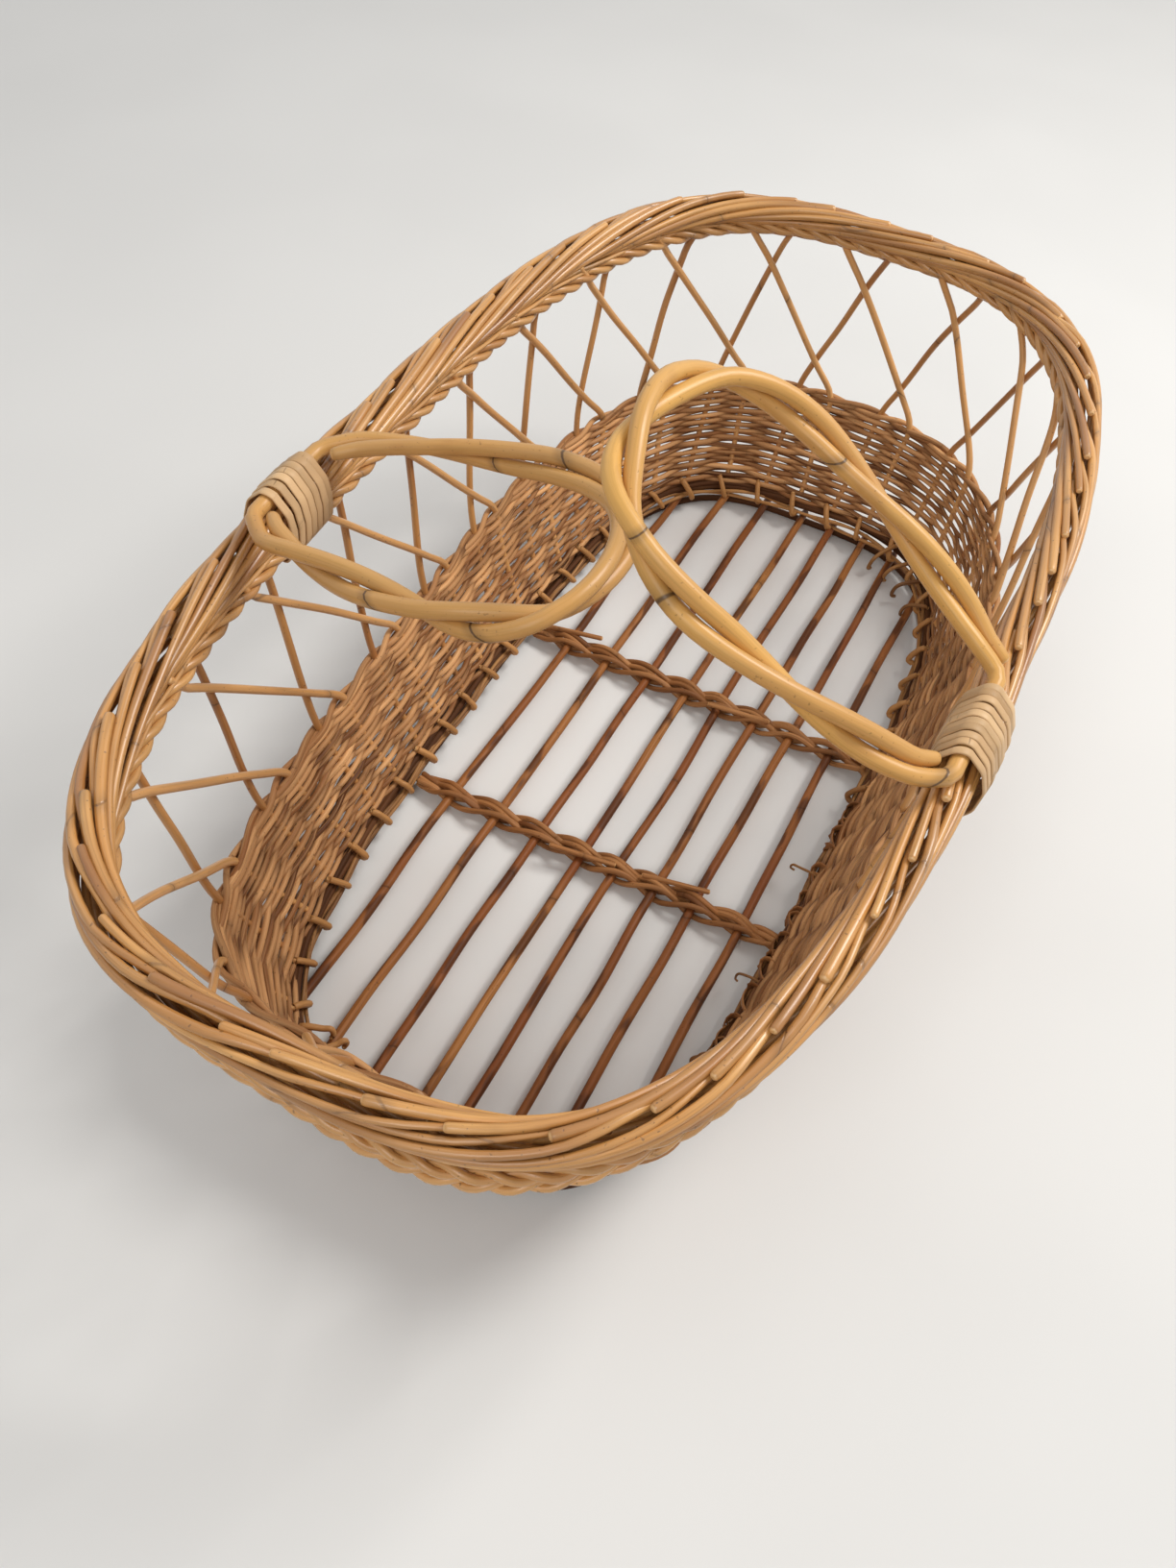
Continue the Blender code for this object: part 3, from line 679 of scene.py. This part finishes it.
def makeStakes():
    piece = startPiece("latticeStakes")
    steps = stakes["steps"]
    room = rim["clearance"] + stakes["endRoom"] * stakes["radius"]
    low = wall["top"] + room
    high = rim["bandHeight"] - rim["bandRadius"] - room
    reach = stakes["baseShare"] + stakes["topShare"]
    crossings = [(place + stakes["baseShare"]) / reach for place in (0.0, 0.5)]
    rises = (0.0, *crossings, 1.0, *stakes["pastBand"])
    for pair in range(basket["stakePairs"]):
        for side in (1, -1):
            corners = []
            index = 2 * pair + (0 if side > 0 else 1)
            for share in stakes["wallShares"]:
                flat = wallPlace([stakeFraction(index, share)], [share])[0]
                corners.append((*flat, wallHeight(share)))
            for rise, aside in zip(rises, stakes["aside"]):
                phase = basket["wallPhase"] * (1 - rise) + basket["rimPhase"] * rise
                fraction = fractionAt(pair + phase + side * (reach * rise - stakes["baseShare"]))
                inset = rim["stakeInset"] + stakes["headInset"] * max(0, rise - 1)
                foot, normal = along(wallLine, [fraction])
                head, _ = along(rimLine, [fraction], -inset)
                flat = foot[0] * (1 - min(rise, 1)) + head[0] * min(rise, 1) - side * aside * normal[0]
                corners.append((*flat, low + (high - low) * rise))
            points = smoothThrough(corners, steps)
            drift = np.column_stack([wander(steps, stakes["sideWander"]) for _ in "xy"])
            points[2:-2, :2] += drift[2:-2]
            radius = stakes["radius"] * dice.uniform(*stakes["thickness"])
            radius = radius * (1 + wander(steps, *stakes["thickWander"]))
            inWall = points[:, 2] < wall["top"]
            radius = np.where(inWall, np.minimum(radius, stakes["inWallRadius"]), radius)
            layCane(piece, points, radius, 10, tone=dice.uniform(*stakes["tones"][side]))
    nodes = [f"stake_pair_{pair + 1:02d}" for pair in range(basket["stakePairs"])]
    finishPiece(piece, finishes["tanCane"], "basket", nodes)


makeStakes()


# woven wall: rows of thin canes, each passing the stakes on alternate sides

def stakesAt(places, share):
    # fractions of the way round for places counted in stakes
    count = 2 * basket["stakePairs"]
    lower = np.floor(places)
    first, second = (np.array([stakeFraction(int(i + step) % count, share) + int(i + step) // count
                               for i in lower]) for step in (0, 1))
    return first + (second - first) * (places - lower)


def makeWall():
    piece = startPiece("wallWeavers")
    count = 2 * basket["stakePairs"]
    perGap, perEdgeGap, overlap = 6, 8, 5
    steps = count * perGap + overlap
    for row in range(wall["rows"]):
        share = (row - wall["rowsBelow"]) / (wall["rows"] - wall["rowsSpare"])
        loose = 1.0 + wall["looseness"] * max(0, wall["looseRows"] - row) / wall["looseRows"]
        place = np.arange(steps) / perGap + dice.integers(0, count)
        fractions = stakesAt(place, share)
        swing = np.cos(np.pi * place) * (1 if row % 2 else -1)
        out = wall["bow"] * np.sign(swing) * np.abs(swing) ** wall["bowPower"]
        out = out + wander(steps, *wall["bowWander"])
        level = share + loose * wander(steps, *wall["levelWander"])
        level = level + wall["ripple"] * np.cos(2 * np.pi * place + row)
        points = np.column_stack((wallPlace(fractions, level, out), wallHeight(level)))
        away = (fractions - wall["openAt"] + 0.5) % 1 - 0.5
        radius = wall["weaver"] * dice.uniform(*wall["thickness"]) * (1 + wander(steps, *wall["thickWander"]))
        radius = radius * (1 - wall["openThin"] * np.exp(-(away / wall["openSpread"]) ** 2))
        # painted shade: the passes outside the stakes lean to the dark second colour
        tone = wall["tone"] + wall["swingShade"] * swing - wall["riseTone"] * (share - 0.5)
        tone = tone + dice.normal(0, wall["rowTone"]) + wander(steps, *wall["toneWander"])
        layCane(piece, points, radius, 6, tone=np.clip(tone, 0, 1))
    edge = wall["edge"]
    for strand in range(edge["canes"]):            # twined top edge
        place = np.arange(count * perEdgeGap + overlap) / perEdgeGap
        angle = np.pi * (place + strand)
        flat = wallPlace(stakesAt(place, 1.0), np.ones(len(place)), edge["lie"] * np.cos(angle))
        height = wall["top"] - edge["drop"] + edge["lift"] * np.sin(angle)
        layCane(piece, np.column_stack((flat, height)), edge["radius"], tone=0.3 + 0.3 * strand)
    finishPiece(piece, finishes["weaverCane"], "basket", ["woven_wall"])


makeWall()


# base hoops: dark canes under the slats and on them, and thin ones at the inner edge

hoops = {
    "upper": {"count": 4, "lie": 0.0029, "radius": 0.0023, "out": 0.0098, "height": 0.0180, "turns": 3},
    "lower": {"count": 1, "lie": 0.0, "radius": 0.0027, "out": 0.0094, "height": 0.0028, "turns": 1},
    "inner": (
        {"count": 3, "lie": 0.0015, "radius": 0.00130, "out": 0.0047, "height": 0.0156, "turns": 19},
        {"count": 3, "lie": 0.0013, "radius": 0.00130, "out": 0.0036, "height": 0.0129, "turns": 17},
    ),
    "steps": 420,
    "strandShift": 0.02,
    "turnWander": (0.3, 9),
    "toneWander": (0.25, 12),
    "footTone": 1.1,              # the inner edge is dark at the foot and pale at the head
    "headWander": (0.2, 12),
    "thickWander": (0.04, 14),
}


def layHoop(piece, hoop, tones, paleAtHead=False):
    steps = hoops["steps"]
    fractions = np.linspace(0, 1.003, steps)
    shift = dice.uniform(0, 1)
    for strand in range(hoop["count"]):
        turned = hoop["turns"] * fractions + strand / hoop["count"]
        angle = 2 * np.pi * turned + wander(steps, *hoops["turnWander"])
        out = hoop["out"] + hoop["lie"] * np.cos(angle)
        flat, normal = along(baseLine, fractions + shift + hoops["strandShift"] * strand, out)
        points = np.column_stack((flat, hoop["height"] + hoop["lie"] * np.sin(angle)))
        tone = dice.uniform(*tones) + wander(steps, *hoops["toneWander"])
        if paleAtHead:
            tone = hoops["footTone"] - np.clip(normal[:, 0], 0, 1) + wander(steps, *hoops["headWander"])
        radius = hoop["radius"] * (1 + wander(steps, *hoops["thickWander"]))
        layCane(piece, points, radius, tone=np.clip(tone, 0, 1))


def makeHoops():
    piece = startPiece("baseHoopCanes")
    layHoop(piece, hoops["upper"], (0, 1))
    layHoop(piece, hoops["lower"], (0, 0.5))
    finishPiece(piece, finishes["darkCane"], "basket", ["base_hoop_lower", "base_hoop_upper"])


def makeInnerEdge():
    piece = startPiece("innerEdgeCanes")
    for hoop in hoops["inner"]:
        layHoop(piece, hoop, (0, 0.4), paleAtHead=True)
    finishPiece(piece, finishes["paleLoop"], "basket", ["base_hoop_inner"])


makeHoops()
makeInnerEdge()


# slats along the base, and the two twined bars across them

slats = {
    "radius": 0.0031,
    "height": 0.00921,
    "shares": (0.795, 0.541, 0.295, 0.047, -0.149, -0.364, -0.571, -0.813),   # of the base's half width
    "golden": (2, 4),
    "goldenTones": (0.75, 1),
    "tones": (0, 0.5),
    "steps": 70,
    "sideWander": (0.0011, 6),
    "riseWander": (0.0003, 4),
    "thickWander": (0.03, 12),
}
crossBars = {
    "shares": (-0.2273, 0.3294),                  # of the base's half length
    "radius": 0.0020,
    "spread": 0.0020,
    "past": 0.0050,                               # how far they run past the slats' oval
    "pairs": ((1, 0.5), (-1, -0.5), (1, 0.02)),   # which way each pair turns, and how far aside, in pairs
    "splices": ((-0.62, 0, 1), (0.20, 0, -1), (0.62, 1, 1), (-0.10, 1, -1)),  # across, which bar, which side
    "spliceLength": 0.046,
    "spliceAside": (0.0095, 0.001),
    "spliceLift": (2.5, 1.4),                     # in radii
    "spliceThin": 0.9,
    "steps": 140,
    "spliceSteps": 24,
    "tones": (0.1, 0.9),
    "toneWander": (0.3, 9),
    "sideWander": (0.0008, 9),
    "riseWander": (0.05, 6),
    "thickWander": (0.06, 11),
}
halfWidth = ovals["base"]["width"] / 2
halfLength = ovals["base"]["length"] / 2


def makeSlats():
    piece = startPiece("baseSlats")
    steps = slats["steps"]
    held = np.clip(np.sin(np.linspace(0, np.pi, steps)) * 3, 0, 1)      # straight at both ends
    for number, share in enumerate(slats["shares"], 1):
        low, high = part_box(f"base_slat_{number}")
        x = np.linspace(low.x, high.x, steps)
        y = share * halfWidth + wander(steps, *slats["sideWander"]) * held
        z = slats["height"] + wander(steps, *slats["riseWander"]) * held
        radius = slats["radius"] * (1 + wander(steps, *slats["thickWander"]))
        tone = dice.uniform(*slats["goldenTones" if number in slats["golden"] else "tones"])
        layCane(piece, np.column_stack((x, y, z)), radius, 12, tone=tone)
    nodes = [f"base_slat_{number + 1}" for number in range(len(slats["shares"]))]
    finishPiece(piece, finishes["redCane"], "basket", nodes)


def makeCrossBars():
    piece = startPiece("crossBarCanes")
    steps, spliceSteps = crossBars["steps"], crossBars["spliceSteps"]
    half = halfWidth * (1 - ovals["base"]["taper"]) + crossBars["past"]
    crossings = [-half] + sorted(share * halfWidth for share in slats["shares"]) + [half]
    rise = slats["radius"] + crossBars["radius"]
    pairWidth = 2 * (crossBars["spread"] + crossBars["radius"])
    place = np.linspace(0, len(crossings) - 1, steps)
    held = np.clip(1.2 * np.minimum(place, place[-1] - place), 0.35, 1)      # flat under the hoops
    y = np.interp(place, np.arange(len(crossings)), crossings)
    for share in crossBars["shares"]:
        for turn, aside in crossBars["pairs"]:
            middle = share * halfLength + aside * pairWidth
            for side in (1, -1):
                sway = side * turn * crossBars["spread"] * np.sin(np.pi * place)
                x = middle + sway + wander(steps, *crossBars["sideWander"])
                lift = held * side * rise * np.cos(np.pi * place)
                lift = lift * (1 + wander(steps, *crossBars["riseWander"]))
                tone = dice.uniform(*crossBars["tones"]) + wander(steps, *crossBars["toneWander"])
                tone = np.clip(tone, 0, 1)
                radius = crossBars["radius"] * (1 + wander(steps, *crossBars["thickWander"]))
                layCane(piece, np.column_stack((x, y, slats["height"] + lift)), radius, tone=tone)
    for at, bar, side in crossBars["splices"]:             # spliced ends on top
        x = crossBars["shares"][bar] * halfLength + side * np.linspace(*crossBars["spliceAside"], spliceSteps)
        across = at * halfWidth + side * np.linspace(0, crossBars["spliceLength"], spliceSteps)
        lift = crossBars["radius"] * np.linspace(*crossBars["spliceLift"], spliceSteps)
        points = np.column_stack((x, across, slats["height"] + slats["radius"] + lift))
        layCane(piece, points, crossBars["spliceThin"] * crossBars["radius"], tone=0.1)
    nodes = [f"cross_cane_{bar}_{letter}" for bar in ("foot", "head") for letter in "abcd"]
    finishPiece(piece, finishes["barCane"], "basket", nodes)


makeSlats()
makeCrossBars()


# the stakes' lower ends, bent in over the hoops and under them, and the strip wound round the right side

wrap = {
    "start": 0.630,                 # how far round the base it runs
    "stop": 0.772,
    "strips": ((11, 0.0060, 0.0056), (8, -0.0090, 0.0062), (5, 0.0120, 0.0068)),    # turns, tilt, reach
    "middle": (0.0096, 0.0178),     # the upper hoop's, outwards and up
    "wide": 1.1,
    "thickness": 0.0006,
    "halfFlat": 0.0020,
    "stepsPerTurn": 16,
    "asideWander": 0.0070,
    "proudWander": 0.0006,
    "tone": 0.75,
    "toneWander": 0.35,
}
loops = {
    "radius": 0.0022,
    "thickness": (0.88, 1.10),
    "steps": 22,
    "spread": 0.0003,
    "aside": 0.004,                 # in fractions of the way round
    "section": ((10.5, 27.2), (8.0, 26.0), (5.2, 24.2), (2.8, 21.8), (0.6, 18.8), (-0.9, 16.0),
                (-0.4, 13.8), (1.6, 12.6), (4.5, 12.4)),    # outwards and up, in millimetres
    "lean": (-0.0075, 0.0020),      # the usual one, and how far it varies
    "tones": (0, 0.3),
    "darkTones": (0.6, 1),
    "darkBetween": (0.55, 0.80),    # how far round: darker on the right
    "hooks": (                      # how far round, how far in and how high the end curls, radius
        (0.4391, -0.0100, 0.0175, 0.0024), (0.4511, -0.0120, 0.0185, 0.0024),
        (0.9483, -0.0170, 0.0085, 0.0019), (0.9350, -0.0150, 0.0080, 0.0018),
        (0.9222, -0.0150, 0.0090, 0.0019), (0.9044, -0.0110, 0.0080, 0.0017),
        (0.7237, -0.0120, 0.0150, 0.0010), (0.6643, -0.0080, 0.0120, 0.0010),
    ),
    "hookLean": (0.004, 0.003),
    "hookSteps": 26,
    "hookThin": 0.75,               # at its tip
    "thickHook": 0.002,             # a hook thicker than this is paler
    "hookTones": (0.2, 1.0),
}


def fromBase(fraction, section, leans):
    # points in the upright plane across the base's edge at a fraction of the way round
    place, normal = along(baseLine, [fraction])
    way = np.array((-normal[0][1], normal[0][0]))
    ground = place[0] + section[:, :1] * normal[0] + np.reshape(leans, (-1, 1)) * way
    return np.column_stack((ground, section[:, 1]))


def makeLoops():
    piece = startPiece("stakeEndLoops")
    loopSteps, hookSteps = loops["steps"], loops["hookSteps"]
    darkFrom, darkTo = loops["darkBetween"]
    shape = 0.001 * np.array(loops["section"])
    for index in range(2 * basket["stakePairs"]):
        fraction = stakeFraction(index, 0.0) + loops["aside"]
        if wrap["start"] < fraction < wrap["stop"]:
            continue
        section = shape + dice.normal(0, loops["spread"], shape.shape)
        leans = np.linspace(0, dice.normal(*loops["lean"]), loopSteps)
        tone = dice.uniform(*loops["darkTones" if darkFrom < fraction % 1 < darkTo else "tones"])
        points = fromBase(fraction, smoothThrough(section, loopSteps), leans)
        layCane(piece, points, loops["radius"] * dice.uniform(*loops["thickness"]), tone=tone)
    for fraction, reach, lift, radius in loops["hooks"]:
        section = ((0.0080, 0.0225), (0.0035, 0.0235), (0.5 * reach, 0.0215),
                   (0.9 * reach, (0.0215 + lift) / 2 + 0.002), (reach, lift), (0.75 * reach, lift - 0.002))
        leans = np.linspace(0, dice.normal(*loops["hookLean"]), hookSteps)
        points = fromBase(fraction, smoothThrough(section, hookSteps), leans)
        tone = loops["hookTones"][radius <= loops["thickHook"]]
        layCane(piece, points, radius * np.linspace(1.0, loops["hookThin"], hookSteps), tone=tone)
    finishPiece(piece, finishes["paleLoop"], "basket", [])


def makeWrap():
    piece = startPiece("hoopWrap")
    out, height = wrap["middle"]
    for turns, tilt, reach in wrap["strips"]:
        count = turns * wrap["stepsPerTurn"] + 1
        turn = np.arange(count) / wrap["stepsPerTurn"]
        aside = wander(count, wrap["asideWander"], turns) + tilt * np.sin(2 * np.pi * turn)
        fractions = wrap["start"] + (wrap["stop"] - wrap["start"]) * turn / turns
        fractions = fractions + aside / baseLine["girth"]
        around = reach + np.abs(wander(count, wrap["proudWander"], 2 * turns))
        flat, _ = along(baseLine, fractions, out + wrap["wide"] * around * np.cos(2 * np.pi * turn))
        points = np.column_stack((flat, height + around * np.sin(2 * np.pi * turn)))
        tone = np.clip(wrap["tone"] + wander(count, wrap["toneWander"], 2 * turns), 0, 1)
        layCane(piece, points, wrap["thickness"], flat=wrap["halfFlat"], tone=tone, cut=cane["squareCut"])
    finishPiece(piece, finishes["barCane"], "basket", [])


makeLoops()
makeWrap()


# handles: two golden poles twisted into a loop, hung in a binding

handles = {
    "steps": 184,
    "poleRadius": 0.00475,
    "thickWander": (0.012, 7),
    "poleGap": 0.0007,
    "ramp": 0.030,                # over how long a stretch the poles part
    "twinStart": 0.005,           # how far past the straight stretch the second pole begins
    "twinTip": 0.82,              # how thick that pole is at its ends
    "twinClear": 0.005,           # and how far above the binding it stays
    "seatAngle": 5.0,             # how far inwards the hinge sits on the rim
    "shares": (                   # how far up the loop, and how wide there
        (0.00, 0.46), (0.06, 0.62), (0.18, 0.77), (0.35, 0.89), (0.55, 0.97),
        (0.70, 1.00), (0.83, 0.91), (0.94, 0.67), (1.00, 0.25)),
    "left": {
        "lean": 80, "length": 0.2040, "width": 0.1290, "drift": 0.0090, "tones": (0.7, 0.9),
        "lay": (                  # how far round the loop, and turns of the poles made by there
            (0.099, 0.0), (0.141, 0.158), (0.304, 0.636), (0.424, 1.117), (0.826, 1.900), (0.901, 2.0)),
    },
    "right": {
        "lean": 60, "length": 0.2225, "width": 0.1484, "drift": 0.0, "tones": (0.1, 0.3),
        "lay": (
            (0.096, 0.5), (0.234, 0.894), (0.408, 1.356), (0.516, 1.728), (0.614, 2.136),
            (0.783, 2.633), (0.904, 3.0)),
    },
}


def handleFrame(side):
    flat, normal = along(rimLine, [bindingFraction(side)])
    out = np.array((*normal[0], 0.0))
    up = np.array((0.0, 0.0, 1.0))
    middle = np.array((*flat[0], rim["height"]))
    seat = rim["radius"] + handles["poleGap"] + handles["poleRadius"]
    angle = math.radians(handles["seatAngle"])
    hinge = middle + seat * (math.cos(angle) * up - math.sin(angle) * out)
    return middle, hinge, out, up


def loopOutline(handle, count):
    half = handle["width"] / 2
    right, left = ([(way * half * wide + handle["drift"] * rise, handle["length"] * rise)
                    for rise, wide in handles["shares"]] for way in (1, -1))
    ring = np.array([(0.0, 0.0)] + right + left[::-1])
    fine = []
    for index in range(len(ring)):
        fine += smoothStretch(*(ring[(index + shift) % len(ring)] for shift in (-1, 0, 1, 2)), 24)
    fine = np.array(fine + fine[:1])
    reached = distanceAlong(fine)
    flat = pickAt(np.arange(count) * reached[-1] / count, reached, fine)
    flat[:, 1] = np.maximum(flat[:, 1], 0.0)
    return flat, reached[-1]


def makeHandle(side):
    handle = handles[side]
    _, hinge, out, up = handleFrame(side)
    steps = handles["steps"]
    flat, girth = loopOutline(handle, steps)
    outward = outwardNormals(flat)
    heading = np.array((-out[1], out[0], 0.0))
    lean = math.radians(handle["lean"])
    away = math.cos(lean) * up - math.sin(lean) * out
    face = np.cross(heading, away)
    place = np.arange(steps) / steps * girth
    straight = handles["shares"][0][1] * handle["width"] / 2
    ramp = np.clip((np.minimum(place, girth - place) - straight) / handles["ramp"], 0.0, 1.0)
    ramp = ramp * ramp * (3 - 2 * ramp)
    wayRound, turnsMade = zip(*handle["lay"])
    angle = 2 * np.pi * np.interp(place / girth, wayRound, turnsMade)
    start = straight + handles["twinStart"]
    offset = handles["poleRadius"] + handles["poleGap"] / 2

    def lay(reach, rows):
        across = (np.cos(angle) * reach)[rows]
        proud = (np.sin(angle) * reach)[rows]
        spot = flat[rows] + across[:, None] * outward[rows]
        return hinge + spot[:, :1] * heading + spot[:, 1:] * away + proud[:, None] * face

    piece = startPiece(f"{side}HandlePoles")
    mainTone, twinTone = handle["tones"]
    rows = np.arange(0, steps, 2)
    main = lay(offset * ramp, np.append(rows, 0))
    radius = handles["poleRadius"] * (1 + wander(len(main), *handles["thickWander"]))
    layCane(piece, main, radius, 12, tone=mainTone)
    free = (place >= start) & (place <= girth - start) & (flat[:, 1] > handles["twinClear"])
    free = np.nonzero(free)[0]
    rows = np.unique(np.concatenate((free[::2], free[-1:])))
    twin = lay(-offset * (2 - ramp), rows)
    fromEnd = np.minimum(np.arange(len(twin)), np.arange(len(twin))[::-1])
    taper = np.minimum(1, handles["twinTip"] + (1 - handles["twinTip"]) * fromEnd / 3)
    radius = handles["poleRadius"] * taper * (1 + wander(len(twin), *handles["thickWander"]))
    layCane(piece, twin, radius, 12, tone=twinTone)
    nodes = [f"handle_{side}_pole_a", f"handle_{side}_pole_b"]
    finishPiece(piece, finishes["goldenPole"], f"handle_{side}", nodes)


def hullPoint(circles, angle):
    # where a strip drawn tight round the circles touches them on the side of this angle
    way = np.array((math.cos(angle), math.sin(angle)))
    centre, radius = max(circles, key=lambda circle: float(np.dot(circle[0], way)) + circle[1])
    return np.array(centre) + radius * way


def makeBinding(side):
    middle, hinge, out, up = handleFrame(side)
    turnCount = bindings[side]["turns"]
    grow = bindings["clearance"] + bindings["thickness"] / 2
    seat = hinge - middle
    circles = (
        ((0.0, 0.0), rim["radius"] + grow),
        ((-0.0008, 0.0085), 0.0120 + grow),       # strip bows out between the canes that it grips
        ((0.0, -0.0100), 0.0130 + grow),
        ((-rim["bandReach"], -rim["bandDrop"]), rim["bandRadius"] + grow),
        ((rim["bandReach"], -rim["bandDrop"]), rim["bandRadius"] + grow),
        ((float(seat @ out), float(seat @ up)), handles["poleRadius"] + grow),
    )
    count = turnCount * bindings["stepsPerTurn"] + 1
    points = np.zeros((count, 3))
    turns = np.arange(count) / bindings["stepsPerTurn"]
    lift = np.abs(wander(count, bindings["liftWander"], 2 * turnCount))
    lift += bindings["bulge"] * np.sin(np.pi * turns / turnCount)
    tilt = wander(count, bindings["tiltWander"], turnCount)
    for step, turn in enumerate(turns):
        rounded = [(centre, size + lift[step]) for centre, size in circles]
        points[step, :2] = hullPoint(rounded, 2 * math.pi * turn - math.pi / 2)
    points[:, 2] = (turns - turnCount / 2) * bindingPitch(side)
    points[:, 2] += wander(count, bindings["placeWander"], 3 * turnCount)
    points[:, 2] += tilt * np.sin(2 * np.pi * turns + 1.0)
    turned = Matrix((Vector(out), Vector(up), Vector(out).cross(Vector(up)))).transposed().to_4x4()
    place = Matrix.Translation(Vector(middle)) @ turned
    piece = startPiece(f"{side}Binding")
    tone = np.clip(bindings["tone"] + wander(count, bindings["toneWander"], 2 * turnCount), 0, 1)
    edge = bindings["edgeRound"] * bindings["thickness"]
    layCane(piece, points, edge, flat=bindings[side]["strip"] / 2 - edge, tone=tone, place=place,
            cut=cane["squareCut"])
    finishPiece(piece, finishes["flatStrip"], "basket", [f"binding_{side}"])


for side in ("left", "right"):
    makeHandle(side)
    makeBinding(side)


# floor, light and camera

studio = {
    "floorColour": (0.75, 0.745, 0.73),
    "floorShade": 0.97,           # the floor's darker clouds
    "floorClouds": (0.35, 0.65),
    "floorRough": 0.9,
    "floorShine": 0.1,
    "floorSize": 4.0,
    "worldStrength": 0.42,
    "aimedAt": (0, 0, 0.1),
    "lamps": {                    # place, size, power, colour
        "keyLight": ((1.0, -1.0, 1.8), 0.9, 36.0, (1.0, 0.98, 0.95)),
        "fillLight": ((0.5, 1.5, 1.8), 1.8, 3.5, (0.96, 0.98, 1.0)),
        "frontLight": ((-1.3, -0.2, 1.5), 0.9, 9.0, (1.0, 0.98, 0.95)),
    },
    "lens": 31.10,
    "sensorWidth": 36.0,
    "cameraAt": (-0.5504, -0.2038, 0.7644),
    "cameraAxes": (               # right, up and back
        (0.46377421, -0.88427159, 0.05456406), (0.68548201, 0.39716880, 0.61022238),
        (-0.56127346, -0.24560272, 0.79034891)),
}


def makeFloor():
    cage = bmesh.new()
    bmesh.ops.create_grid(cage, x_segments=1, y_segments=1, size=studio["floorSize"])
    mesh = bpy.data.meshes.new("floor")
    cage.to_mesh(mesh)
    cage.free()
    floor = bpy.data.objects.new("floor", mesh)
    bpy.context.scene.collection.objects.link(floor)
    material, tree, shader = startFinish("paleFloor", studio["floorRough"], studio["floorShine"])
    start = Wire(tree, None)
    where = start.node("ShaderNodeTexCoord", out=3)
    cloud = where.node("ShaderNodeTexNoise", {}, {"Vector": where, "Scale": 3.0, "Detail": 2.0})
    darker = tuple(studio["floorShade"] * part for part in studio["floorColour"])
    colour = cloud.between(*studio["floorClouds"]).blend(studio["floorColour"], darker)
    tree.links.new(colour.socket, shader.inputs["Base Color"])
    mesh.materials.append(material)


def makeLamp(name, at, size, power, colour):
    data = bpy.data.lights.new(name, "AREA")
    data.shape = "DISK"
    data.size = size
    data.energy = power
    data.color = colour
    lamp = bpy.data.objects.new(name, data)
    lamp.location = at
    lamp.rotation_euler = (Vector(studio["aimedAt"]) - Vector(at)).to_track_quat("-Z", "Y").to_euler()
    bpy.context.scene.collection.objects.link(lamp)


def makeWorld():
    world = bpy.data.worlds.new("studio")
    bpy.context.scene.world = world
    world.use_nodes = True
    tree = world.node_tree
    tree.nodes.clear()
    start = Wire(tree, None)
    rays = ("Is Camera Ray", "Is Glossy Ray", "Is Transmission Ray")
    seen = [start.node("ShaderNodeLightPath", out=name) for name in rays]
    mask = seen[0].math("MAXIMUM", seen[1]).math("MAXIMUM", seen[2])
    strength = mask * (1 - studio["worldStrength"]) + studio["worldStrength"]
    glow = start.node("ShaderNodeBackground", {}, {"Color": (1, 1, 1, 1), "Strength": strength})
    out = tree.nodes.new("ShaderNodeOutputWorld")
    tree.links.new(glow.socket, out.inputs["Surface"])


def makeCamera():
    data = bpy.data.cameras.new("photoView")
    data.lens = studio["lens"]
    data.sensor_width = studio["sensorWidth"]
    data.clip_start = 0.01
    camera = bpy.data.objects.new("photoView", data)
    right, up, back = (Vector(axis) for axis in studio["cameraAxes"])
    turned = Matrix((right, up, back)).transposed().to_4x4()
    camera.matrix_world = Matrix.Translation(Vector(studio["cameraAt"])) @ turned
    bpy.context.scene.collection.objects.link(camera)
    bpy.context.scene.camera = camera


makeFloor()
for lampName, lamp in studio["lamps"].items():
    makeLamp(lampName, *lamp)
makeWorld()
makeCamera()
bpy.context.scene.view_settings.view_transform = "Standard"
print("stage, lights and camera set")
